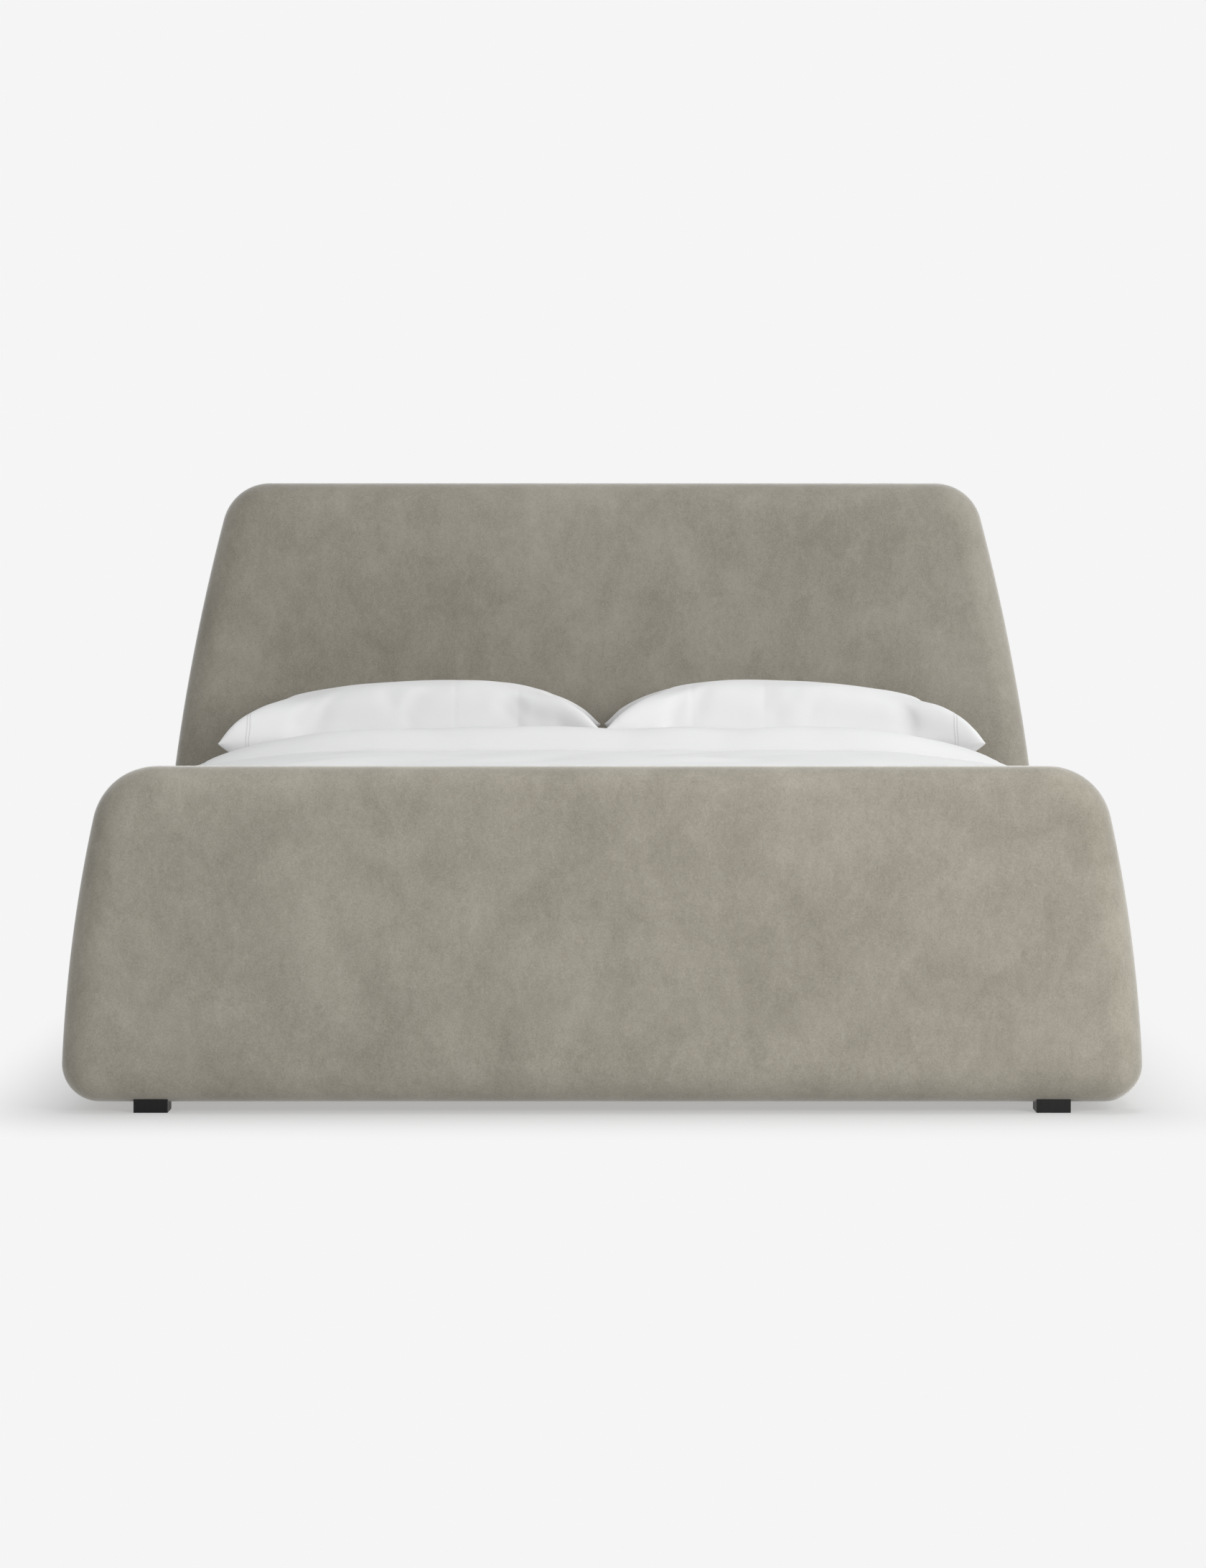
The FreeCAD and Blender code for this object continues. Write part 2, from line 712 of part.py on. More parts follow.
# Steel corner brackets that join each rail to the boards.
brackets = []
for board in (FOOT, HEAD):
    sign = board["sign"]
    face = at_y(sign, inner_length / 2)
    plate_back = at_y(sign, inner_length / 2 - steel)
    wing_end = at_y(sign, inner_length / 2 - bracket_reach)
    for hand, board_x in block_sides:
        tag = f"{board['name']}_{hand}"
        wing_x = (board_x[1] - steel, board_x[1]) if hand == "right" else (board_x[0], board_x[0] + steel)
        plate_y = (plate_back, face) if sign > 0 else (face, plate_back)
        wing_y = (wing_end, face) if sign > 0 else (face, wing_end)
        height = (bracket_low, bracket_high)
        plate = box(f"bracket_plate_{tag}", board_x, plate_y, height)
        wing = box(f"bracket_wing_{tag}", wing_x, wing_y, height)
        brackets.append(fuse(f"bracket_{tag}", [plate, wing]))
drilled_brackets = cut("drilled_brackets", group("bracket_blanks", brackets), clear_tool)
keep(cut("rail_brackets", drilled_brackets, bracket_screw_tool))

# Ledgers along the rails, and the twelve slats that lie on them, screwed down at both ends.
ledger_length = inner_length / 2 - bracket_reach / 4
slat_top = slat_seat + slat_thickness
slats = []
slat_screws = []
for i in range(slat_count):
    middle = well_y + slat_pitch * (i - (slat_count - 1) / 2)
    span_y = (middle - slat_width / 2, middle + slat_width / 2)
    span_x = (-slat_length / 2, slat_length / 2)
    slats.append(box(f"slat_{i + 1}", span_x, span_y, (slat_seat, slat_top)))
    for side in (1, -1):
        x = (rail_inner_x - ledger_width / 2) * side
        low = slat_top - slat_screw_length
        tag = f"slat_screw_{i + 1}_{'right' if side > 0 else 'left'}"
        slat_screws.append(rod(tag, x, middle, low, screw_radius, slat_screw_length))
slat_screw_tool = keep(group("slat_screws", slat_screws))
keep(cut("slats", group("slat_blanks", slats), slat_screw_tool))
for hand, x in both_sides((rail_inner_x - ledger_width, rail_inner_x)):
    span_y = (well_y - ledger_length, well_y + ledger_length)
    ledger = box(f"{hand}_ledger_blank", x, span_y, (slat_seat - ledger_depth, slat_seat))
    keep(cut(f"{hand}_slat_ledger", ledger, slat_screw_tool))

# Centre beam in a steel saddle at each end, on three legs with levelling glides.
beam_end = inner_length / 2 - steel - end_gap
beam = box(
    "beam_blank",
    (-beam_width / 2, beam_width / 2),
    (well_y - beam_end, well_y + beam_end),
    (beam_low, slat_seat),
)
saddles = []
for board in (FOOT, HEAD):
    sign = board["sign"]
    name = board["name"]
    face = at_y(sign, inner_length / 2)
    reach = at_y(sign, inner_length / 2 - bracket_reach)
    back = at_y(sign, inner_length / 2 - steel)
    span_y = (reach, face) if sign > 0 else (face, reach)
    plate_y = (back, face) if sign > 0 else (face, back)
    cheek_top = beam_low + beam_depth / 2
    wide = beam_width / 2 + steel
    pan = box(f"saddle_pan_{name}", (-wide, wide), span_y, (beam_low - steel, beam_low))
    right = box(f"saddle_right_{name}", (beam_width / 2, wide), span_y, (beam_low - steel, cheek_top))
    left = box(f"saddle_left_{name}", (-wide, -beam_width / 2), span_y, (beam_low - steel, cheek_top))
    plate = box(f"saddle_plate_{name}", (-wide, wide), plate_y, (beam_low - steel, slat_seat - steel))
    saddles.append(fuse(f"saddle_{name}", [pan, right, left, plate]))
keep(group("beam_saddles", saddles))

leg_bolts = []
stem_bore = stem_radius + stem_clearance
for i, place in ((1, "foot"), (2, "middle"), (3, "head")):
    middle = well_y + leg_spacing * (i - 2)
    label = f"{place}_centre_leg"
    leg = new_body(f"{label}_post")
    section = new_sketch(leg, "XY_Plane", leg_low)
    half = leg_side / 2
    add_rectangle(section, -half, half, middle - half, middle + half)
    extrude(leg, "Pad", section, beam_low - leg_low)
    socket = new_sketch(leg, "XY_Plane", leg_low)
    add_circles(socket, [(nothing, middle)], stem_bore)
    extrude(leg, "Pocket", socket, stem_top - leg_low + glide_thickness, back=True)
    bolt_low_end = beam_low - beam_depth / 2
    leg_bolt = rod(f"leg_bolt_{i}", nothing, middle, bolt_low_end, bolt_radius, beam_depth)
    leg_bolts.append(leg_bolt)
    keep(cut(label, leg, leg_bolt))
    glide = new_body(f"{place}_levelling_glide")
    disc = new_sketch(glide, "XY_Plane")
    add_circles(disc, [(nothing, middle)], glide_radius)
    extrude(glide, "Pad", disc, glide_thickness)
    stem = new_sketch(glide, "XY_Plane")
    add_circles(stem, [(nothing, middle)], stem_radius)
    extrude(glide, "Pad", stem, stem_top)
    keep(glide)
keep(cut("centre_beam", beam, group("leg_bolt_tools", leg_bolts)))
keep(group("leg_bolts", leg_bolts))

# Mattress in a fitted sheet.
half_mattress = mattress_width / 2
mattress_y = (well_y - mattress_length / 2, well_y + mattress_length / 2)
mattress_low = slat_seat + slat_thickness + body_gap
mattress_top = mattress_low + mattress_depth
mattress = soft_block(
    "mattress",
    (-half_mattress, half_mattress),
    mattress_y,
    (mattress_low, mattress_top),
    mattress_rounding,
)
keep(mattress)
sheet_skin = soft_block(
    "sheet_skin",
    (-half_mattress - bed_sheet, half_mattress + bed_sheet),
    (mattress_y[0] - bed_sheet, mattress_y[1] + bed_sheet),
    (mattress_low - bed_sheet, mattress_top + bed_sheet),
    mattress_rounding + bed_sheet,
)
sheet_mouth = box(
    "sheet_mouth",
    (-base_width, base_width),
    (-inner_length, inner_length),
    (underside, mattress_low + mattress_rounding),
)
keep(cut("fitted_sheet", cut("sheet_sock", sheet_skin, mattress), sheet_mouth))

# Duvet over the foot half of the bed, hanging down both sides, with its head end turned back.
cloth_low = mattress_top + bed_sheet + body_gap
duvet_top = cloth_low + duvet_depth
flap_inner = half_mattress + bed_sheet + body_gap
flap_outer = flap_inner + duvet_side
duvet_start = -inner_length / 2 + bed_sheet + mattress_rounding / 2
drape = new_body("duvet_drape")
section = new_sketch(drape, "XZ_Plane", -(well_y + duvet_start))
add_polygon(
    section,
    [
        (-flap_outer, duvet_hem),
        (-flap_inner, duvet_hem),
        (-flap_inner, cloth_low),
        (flap_inner, cloth_low),
        (flap_inner, duvet_hem),
        (flap_outer, duvet_hem),
        (flap_outer, duvet_top),
        (-flap_outer, duvet_top),
    ],
)
extrude(drape, "Pad", section, duvet_fold_end - duvet_start, back=True)
doc.recompute()


def on_shoulder(edge):
    lengthways = abs(edge.tangentAt(0).y) > 0.9
    return lengthways and edge.valueAt(0).z > (cloth_low.value + duvet_top.value) / 2


round_edges(drape, (drape.Tip, edge_names(drape.Shape, on_shoulder)), duvet_rounding)
turnback = box(
    "duvet_turnback",
    (-half_mattress, half_mattress),
    (well_y + duvet_fold_start, well_y + duvet_fold_end),
    (duvet_top - body_gap, duvet_top + duvet_depth),
)
keep(fuse("duvet", [drape, turnback]))

# Two wide pillows side by side against the headboard.
for hand, x in both_sides((pillow_gap / 2, pillow_gap / 2 + pillow_width)):
    span_y = (well_y + pillow_start, well_y + pillow_start + pillow_length)
    span_z = (cloth_low, cloth_low + pillow_depth)
    keep(soft_block(f"{hand}_pillow", x, span_y, span_z, pillow_rounding))

doc.recompute()
failed = [thing.Label for thing in doc.Objects if {"Invalid", "Error"} & set(thing.State)]
failed += [node.Label for node in nodes if node.Shape.isNull() or not node.Shape.isValid()]
if failed:
    raise SystemExit(f"these could not be built: {failed}")
for node in nodes:
    node.Shape.exportStep(f"parts/{node.Label}.step")
print(f"{len(nodes)} nodes")
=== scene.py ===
from math import asin, cos, hypot, pi, radians, sin, sqrt

import bmesh
import bpy
import numpy as np
from mathutils import Matrix, Vector, noise


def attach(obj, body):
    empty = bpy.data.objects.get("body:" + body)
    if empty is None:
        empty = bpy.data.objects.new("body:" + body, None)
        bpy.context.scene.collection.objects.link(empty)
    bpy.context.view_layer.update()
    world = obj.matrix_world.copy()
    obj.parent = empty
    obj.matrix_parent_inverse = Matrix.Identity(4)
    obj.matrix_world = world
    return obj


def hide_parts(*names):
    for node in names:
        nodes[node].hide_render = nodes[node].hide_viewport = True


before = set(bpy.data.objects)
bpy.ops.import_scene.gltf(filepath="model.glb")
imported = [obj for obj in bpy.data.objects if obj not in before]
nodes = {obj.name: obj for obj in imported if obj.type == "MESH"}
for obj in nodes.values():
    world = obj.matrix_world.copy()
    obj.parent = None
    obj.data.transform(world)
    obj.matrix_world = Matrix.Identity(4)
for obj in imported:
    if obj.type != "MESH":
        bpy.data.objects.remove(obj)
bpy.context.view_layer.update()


# Timber inside the boards.
# Each board is built on pine posts and rails with upright ribs between plywood skins. The
# pine is planed and left raw, the plywood is rotary-cut with a pale, wavy grain.

class Value:
    """A socket of a finish's nodes, on which Python's operators add Math nodes."""

    def __init__(self, finish, socket):
        self.finish = finish
        self.socket = socket

    def math(self, operation, *values):
        sockets = dict(enumerate(values))
        return self.finish.node("ShaderNodeMath", {"operation": operation}, sockets)

    def __add__(self, other):
        return self.math("ADD", self, other)

    __radd__ = __add__

    def __sub__(self, other):
        return self.math("SUBTRACT", self, other)

    def __rsub__(self, other):
        return self.math("SUBTRACT", other, self)

    def __mul__(self, other):
        return self.math("MULTIPLY", self, other)

    __rmul__ = __mul__

    def sine(self):
        return self.math("SINE", self)

    def size(self):
        return self.math("ABSOLUTE", self)

    def root(self):
        return self.math("SQRT", self)

    def at_least(self, least):
        return self.math("MAXIMUM", self, least)

    def between(self, low, high):
        """0 below low, 1 above high, and smooth in between."""
        return self.finish.node(
            "ShaderNodeMapRange",
            {"interpolation_type": "SMOOTHSTEP"},
            {"Value": self, "From Min": low, "From Max": high},
        )


class Finish:
    """A material being made: its nodes, its shader and where a point lies on the piece."""

    def __init__(self, name, roughness=0.5):
        self.material = bpy.data.materials.new(name)
        self.material.use_nodes = True
        self.tree = self.material.node_tree
        self.shader = self.tree.nodes["Principled BSDF"]
        self.shader.inputs["Roughness"].default_value = roughness

    def node(self, kind, settings=None, inputs=None, output=0):
        made = self.tree.nodes.new(kind)
        for key, value in (settings or {}).items():
            setattr(made, key, value)
        self.fill(made, inputs or {})
        return Value(self, made.outputs[output])

    def fill(self, made, inputs):
        for key, value in inputs.items():
            if isinstance(value, Value):
                self.tree.links.new(value.socket, made.inputs[key])
            else:
                made.inputs[key].default_value = value

    def place(self, scale=(1, 1, 1), turn=(0, 0, 0), shift=(0, 0, 0), output="Object"):
        point = self.node("ShaderNodeTexCoord", output=output)
        inputs = {"Vector": point, "Scale": scale, "Rotation": turn, "Location": shift}
        return self.node("ShaderNodeMapping", {}, inputs)

    def noise(self, point, scale, detail=2.0, roughness=0.5, distortion=0.0):
        inputs = {
            "Vector": point,
            "Scale": scale,
            "Detail": detail,
            "Roughness": roughness,
            "Distortion": distortion,
        }
        return self.node("ShaderNodeTexNoise", {}, inputs)

    def mix(self, share, first, second):
        inputs = {0: share, 6: first, 7: second}
        return self.node("ShaderNodeMix", {"data_type": "RGBA"}, inputs, output=2)

    def bump(self, height, distance, strength=1.0):
        inputs = {"Strength": strength, "Distance": distance, "Height": height}
        self.surface(Normal=self.node("ShaderNodeBump", {}, inputs))

    def surface(self, **inputs):
        self.fill(self.shader, {key.replace("_", " "): value for key, value in inputs.items()})


def paint(finish, *names):
    """Give CAD nodes a finish through their material slots."""
    for name in names:
        node = nodes[name]
        if not node.material_slots:
            node.data.materials.append(None)
        for place in node.material_slots:
            place.material = finish.material


def timber(name, pale, dark, along, rings=9.0, roughness=0.6):
    """Sawn wood whose grain runs along one axis, with growth rings, pores and fine streaks."""
    finish = Finish(name, roughness)
    stretch = [1.0, 1.0, 1.0]
    stretch["xyz".index(along)] = 0.06
    point = finish.place(stretch)
    bands = finish.node(
        "ShaderNodeTexWave",
        {"wave_type": "RINGS", "rings_direction": along.upper()},
        {"Vector": point, "Scale": rings, "Distortion": 7.0, "Detail": 3.0, "Detail Scale": 1.4},
        output=1,
    )
    streaks = finish.noise(point, 160.0, 3.0, 0.6)
    tone = bands * 0.6 + streaks * 0.55 - 0.1
    finish.surface(Base_Color=finish.mix(tone, (*pale, 1), (*dark, 1)))
    finish.surface(Roughness=streaks * 0.2 + (roughness - 0.1))
    finish.bump(streaks + bands * 0.4, 0.0006, 0.5)
    return finish


PINE = ((0.66, 0.47, 0.27), (0.45, 0.26, 0.12))
pine_upright = timber("pine_upright", *PINE, "z")
pine_across = timber("pine_across", *PINE, "x")
plywood = timber("plywood", (0.72, 0.57, 0.38), (0.56, 0.40, 0.23), "z", 3.0, 0.65)
for board in ("footboard", "headboard"):
    paint(pine_upright, f"{board}_left_post", f"{board}_right_post", f"{board}_ribs")
    paint(pine_across, f"{board}_bottom_rail", f"{board}_top_rail")
    paint(plywood, f"{board}_inner_panel", f"{board}_outer_panel")


# Feet.
# Four low block feet of solid wood, stained black and sealed with a satin lacquer. Each is
# held up under the base of its board by a hanger bolt.

def black_satin(name, roughness=0.42):
    """Black stain under satin lacquer: a little grain shows through, with faint scuffs."""
    finish = Finish(name, roughness)
    grain = finish.noise(finish.place((1, 1, 0.08)), 240.0, 3.0, 0.6)
    scuffs = finish.noise(finish.place(), 38.0, 4.0, 0.6)
    stain = finish.mix(grain, (0.003, 0.003, 0.003, 1), (0.010, 0.0095, 0.009, 1))
    finish.surface(Base_Color=stain)
    finish.surface(Roughness=scuffs * 0.25 + (roughness - 0.12), Specular_IOR_Level=0.28)
    finish.bump(grain, 0.0004, 0.4)
    return finish


black_lacquer = black_satin("black_lacquer")
for end in ("foot", "head"):
    paint(black_lacquer, f"{end}_left_foot", f"{end}_right_foot")
for place in ("foot", "middle", "head"):
    paint(black_lacquer, f"{place}_centre_leg")


# Steel fasteners and brackets.
# Zinc-plated bolts, screws and inserts join the boards, rails and legs. The rail brackets
# and the beam's saddles are pressed steel with a black powder coat.

def steel(name, colour, metal, roughness, scale):
    """Plated or powder-coated steel: a fine cloudy bloom or an orange-peel skin."""
    finish = Finish(name, roughness)
    cloud = finish.noise(finish.place(), scale, 3.0, 0.6)
    pale = tuple(min(1.0, c * 1.25 + 0.01) for c in colour)
    finish.surface(Base_Color=finish.mix(cloud, (*colour, 1), (*pale, 1)), Metallic=metal)
    finish.surface(Roughness=cloud * 0.3 + (roughness - 0.15))
    finish.bump(cloud, 0.0003, 0.3)
    return finish


zinc_plate = steel("zinc_plate", (0.50, 0.51, 0.53), 1.0, 0.36, 180.0)
paint(zinc_plate, "board_bolts", "bracket_screws", "foot_hanger_bolts")
paint(zinc_plate, "leg_bolts", "slat_screws", "threaded_inserts")
powder_coat = steel("black_powder_coat", (0.012, 0.012, 0.013), 0.0, 0.5, 900.0)
paint(powder_coat, "rail_brackets", "beam_saddles")


# Upholstered headboard and footboard.
# Thick foam is wrapped in brushed velvet, cut as an outer and an inner half and sewn
# together all round the rim. Both boards roll outwards like a sleigh's ends.

def velvet(name, depth=1.0):
    """Mushroom-grey velvet: nap brushed in cloudy patches, fine pile, and a pale sheen; a depth
    below 1 darkens it all as painted shade.
    """
    finish = Finish(name, 0.86)
    clouds = finish.noise(finish.place((1.0, 1.0, 0.85)), 4.0, 6.0, 0.62, 0.35)
    brushed = finish.noise(finish.place((1.0, 1.0, 0.7), shift=(3, 1, 2)), 13.0, 6.0, 0.68, 0.5)
    strokes = finish.noise(finish.place((1.0, 1.0, 0.55), (0, 0.7, 0)), 90.0, 5.0, 0.7, 0.3)
    pile = finish.noise(finish.place(), 300.0, 4.0, 0.8)
    tone = clouds * 0.60 + brushed * 0.46 + strokes * 0.32 + pile * 0.9 - 0.64
    # depth scales both colours; below 1 it paints shade over the whole piece.
    dark = tuple(c * depth for c in (0.198, 0.183, 0.147))
    pale = tuple(c * depth for c in (0.384, 0.357, 0.303))
    finish.surface(Base_Color=finish.mix(tone.between(0.03, 0.97), (*dark, 1), (*pale, 1)))
    finish.surface(Sheen_Weight=0.92, Sheen_Roughness=0.34, Sheen_Tint=(0.98, 0.97, 0.96, 1))
    finish.surface(Specular_IOR_Level=0.12)
    finish.bump(pile * 0.8 + strokes * 0.5 + brushed * 0.6, 0.0011, 0.5)
    return finish


mushroom_velvet = velvet("mushroom_velvet")
# The headboard gets the same velvet with both colours scaled by 0.87: painted shade that makes it
# darker than the footboard.
headboard_velvet_painted_shade = velvet("mushroom_velvet_painted_shade", 0.87)


def begin(primitive, name, **settings):
    """Add a primitive with nothing else selected, and start to edit it."""
    bpy.ops.object.select_all(action="DESELECT")
    primitive(**settings)
    piece = bpy.context.active_object
    piece.name = name
    piece.data.name = name
    bpy.ops.object.mode_set(mode="EDIT")
    bpy.ops.mesh.select_mode(type="VERT")
    bpy.ops.mesh.select_all(action="SELECT")
    return piece


def pick(kind, wanted):
    """Select only the vertices, edges or faces that a test of their place wants."""
    bpy.ops.mesh.select_mode(type=kind)
    bpy.ops.mesh.select_all(action="DESELECT")
    mesh = bpy.context.active_object.data
    shape = bmesh.from_edit_mesh(mesh)
    for part in {"VERT": shape.verts, "EDGE": shape.edges, "FACE": shape.faces}[kind]:
        if wanted(part):
            part.select_set(True)
    shape.select_flush_mode()
    bmesh.update_edit_mesh(mesh)


def cut_at(axis, places):
    """Cut the whole piece straight across one axis at each place."""
    direction = Vector((0, 0, 0))
    direction[axis] = 1
    for at in places:
        bpy.ops.mesh.select_all(action="SELECT")
        bpy.ops.mesh.bisect(plane_co=direction * at, plane_no=direction)


def roll_edges(radius, segments):
    """Round the selected edges over to a radius."""
    bpy.ops.mesh.bevel(
        offset=radius, segments=segments, profile=0.5, affect="EDGES", clamp_overlap=False
    )


def strips(low, high, pitch):
    """Even places between two ends, about a pitch apart, without the ends."""
    count = max(2, round((high - low) / pitch))
    return [low + (high - low) * i / count for i in range(1, count)]


def points_of(piece):
    """The piece's vertices as rows of x, y and z."""
    points = np.empty(len(piece.data.vertices) * 3)
    piece.data.vertices.foreach_get("co", points)
    return points.reshape(-1, 3)


def move_points(piece, points):
    piece.data.vertices.foreach_set("co", np.ascontiguousarray(points, dtype=float).ravel())
    piece.data.update()


def finish_piece(piece, finish, body, slot, *stands_for, angle=60):
    """Turn the faces outwards, smooth them, set the finish, hang the piece on its body and hide the
    CAD nodes it stands for.
    """
    bpy.ops.object.select_all(action="DESELECT")
    bpy.context.view_layer.objects.active = piece
    piece.select_set(True)
    bpy.ops.object.mode_set(mode="EDIT")
    bpy.ops.mesh.select_all(action="SELECT")
    bpy.ops.mesh.remove_doubles(threshold=0.0002)
    bpy.ops.mesh.normals_make_consistent(inside=False)
    bpy.ops.object.mode_set(mode="OBJECT")
    bpy.ops.object.shade_smooth_by_angle(angle=radians(angle))
    piece.data.materials.clear()
    piece.data.materials.append(finish.material)
    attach(piece, body)
    if stands_for:
        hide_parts(*stands_for)
    return piece


WELL_MIDDLE = -0.03014
HALF_WELL = 1.025
BASE_HEIGHT = 0.165
THICK = 0.165
SEAM = 0.075
UNDERSIDE = 0.020
RIM = 0.070
BASE_CORNER = 0.075
HALF_WIDTH = 1.060
FOOT_FACE = 2.8825
HEAD_FACE = 5.8825


def board_y(side, face_radius, depth, height):
    """Where a point at a depth behind a board's inner face lies along the bed."""
    lift = np.asarray(height) - BASE_HEIGHT
    run = HALF_WELL + face_radius - np.sqrt((face_radius - np.asarray(depth)) ** 2 - lift**2)
    return WELL_MIDDLE + side * run


def spin_arc(centre, turn, steps):
    """Carry the outline's open end round a centre, in the plane across the bed."""
    bpy.ops.mesh.spin(steps=steps, angle=turn, center=centre, axis=(0, 1, 0))


def straight_board(name, top, corner, side_radius, side_height):
    """A flat padded slab with the board's outline; its depth runs along Y.

    Each side is a base corner, a long shallow arc and a top corner, all tangent. It is
    spun in order from the middle of the underside, then mirrored.
    """
    piece = begin(bpy.ops.mesh.primitive_plane_add, name, size=0.01, location=(0, 0, UNDERSIDE))
    bpy.ops.mesh.merge(type="CENTER")
    base = Vector((HALF_WIDTH - BASE_CORNER, 0, UNDERSIDE + BASE_CORNER))
    rise = base.z - side_height
    middle = Vector((base.x - sqrt((side_radius - BASE_CORNER) ** 2 - rise**2), 0, side_height))
    lean_low = asin(rise / (side_radius - BASE_CORNER))
    lean_high = asin((top - corner - side_height) / (side_radius - corner))
    crown = middle + Vector((cos(lean_high), 0, sin(lean_high))) * (side_radius - corner)
    bpy.ops.mesh.extrude_region_move(TRANSFORM_OT_translate={"value": (base.x, 0, 0)})
    spin_arc(base, pi / 2 + lean_low, 14)
    spin_arc(middle, lean_high - lean_low, 26)
    spin_arc(crown, pi / 2 - lean_high, 16)
    bpy.ops.mesh.extrude_region_move(TRANSFORM_OT_translate={"value": (-crown.x, 0, 0)})
    bpy.ops.object.mode_set(mode="OBJECT")
    piece.data.transform(Matrix.Translation(piece.location))
    piece.location = (0, 0, 0)
    mirror = piece.modifiers.new("other_half", "MIRROR")
    mirror.merge_threshold = 0.001
    bpy.ops.object.modifier_apply(modifier=mirror.name)
    bpy.ops.object.mode_set(mode="EDIT")
    bpy.ops.mesh.select_all(action="SELECT")
    bpy.ops.mesh.edge_face_add()
    bpy.ops.mesh.extrude_region_move(TRANSFORM_OT_translate={"value": (0, THICK, 0)})
    pick("EDGE", lambda e: abs(e.verts[0].co.y - e.verts[1].co.y) < 1e-5)
    roll_edges(RIM, 11)
    cut_at(1, (SEAM - 0.010, SEAM - 0.004, SEAM + 0.004, SEAM + 0.010))
    cut_at(0, strips(-HALF_WIDTH, HALF_WIDTH, 0.028))
    cut_at(2, strips(UNDERSIDE, top, 0.028))
    bpy.ops.mesh.select_all(action="SELECT")
    bpy.ops.mesh.remove_doubles(threshold=0.0008)
    bpy.ops.mesh.normals_make_consistent(inside=False)
    bpy.ops.object.mode_set(mode="OBJECT")
    return piece


def crown_and_seam(piece, top):
    """Let the foam swell both faces a little, and draw the cover in along the rim seam."""
    points = points_of(piece)
    normals = np.array([v.normal for v in piece.data.vertices])
    near = np.exp(-(((points[:, 1] - SEAM) / 0.0045) ** 2))
    points -= normals * (near * 0.0026)[:, None]
    across = 1 - (points[:, 0] / HALF_WIDTH) ** 4
    middle = (UNDERSIDE + top) / 2
    upright = 1 - ((points[:, 2] - middle) / (top - middle)) ** 4
    swell = np.clip(across, 0, 1) * np.clip(upright, 0, 1)
    share = points[:, 1] / THICK
    points[:, 1] += swell * (share * 0.006 - (1 - share) * 0.003)
    for i, (x, y, z) in enumerate(points):
        points[i, 1] += 0.0016 * noise.noise(Vector((x * 4.0, y * 9.0, z * 4.0)))
    move_points(piece, points)


def cover_half(board, name, outer):
    """One half of a board's cover, cut off at the seam and closed behind it."""
    bpy.ops.object.select_all(action="DESELECT")
    half = board.copy()
    half.data = board.data.copy()
    half.name = name
    half.data.name = name
    bpy.context.scene.collection.objects.link(half)
    bpy.context.view_layer.objects.active = half
    half.select_set(True)
    bpy.ops.object.mode_set(mode="EDIT")
    bpy.ops.mesh.select_all(action="SELECT")
    bpy.ops.mesh.bisect(
        plane_co=(0, SEAM, 0),
        plane_no=(0, 1, 0),
        use_fill=True,
        clear_inner=outer,
        clear_outer=not outer,
    )
    bpy.ops.object.mode_set(mode="OBJECT")
    return half


def make_board(board, finish, side, top, corner, side_radius, side_height, face_radius):
    """Both halves of one board's upholstery, bent outwards to its face's radius."""
    whole = straight_board(f"{board}_whole", top, corner, side_radius, side_height)
    crown_and_seam(whole, top)
    for half in ("outer", "inner"):
        piece = cover_half(whole, f"{board}_{half}_upholstery", half == "outer")
        points = points_of(piece)
        points[:, 1] = board_y(side, face_radius, points[:, 1], points[:, 2])
        move_points(piece, points)
        layers = (f"{board}_{half}_cover", f"{board}_{half}_foam")
        finish_piece(piece, finish, "frame", "velvet", *layers)
    bpy.data.objects.remove(whole)


make_board("footboard", mushroom_velvet, -1, 0.680, 0.130, 2.630, -0.018, FOOT_FACE)
make_board("headboard", headboard_velvet_painted_shade, 1, 1.285, 0.114, 5.240, -0.074, HEAD_FACE)


# Side rails.
# A softwood plank stands on edge under foam and the same velvet. Its outer side leans in
# with the boards' sides, and its ends butt against the boards' inner faces.

RAIL_TOP = 0.390
RAIL_INNER = 0.972
RAIL_OUTER_LOW = 1.054
RAIL_OUTER_HIGH = 1.0247
RAIL_GAP = 0.001
paint(timber("pine_lengthways", *PINE, "y"), "left_rail_plank", "right_rail_plank")
paint(timber("block_pine", *PINE, "z"), "packing_blocks")


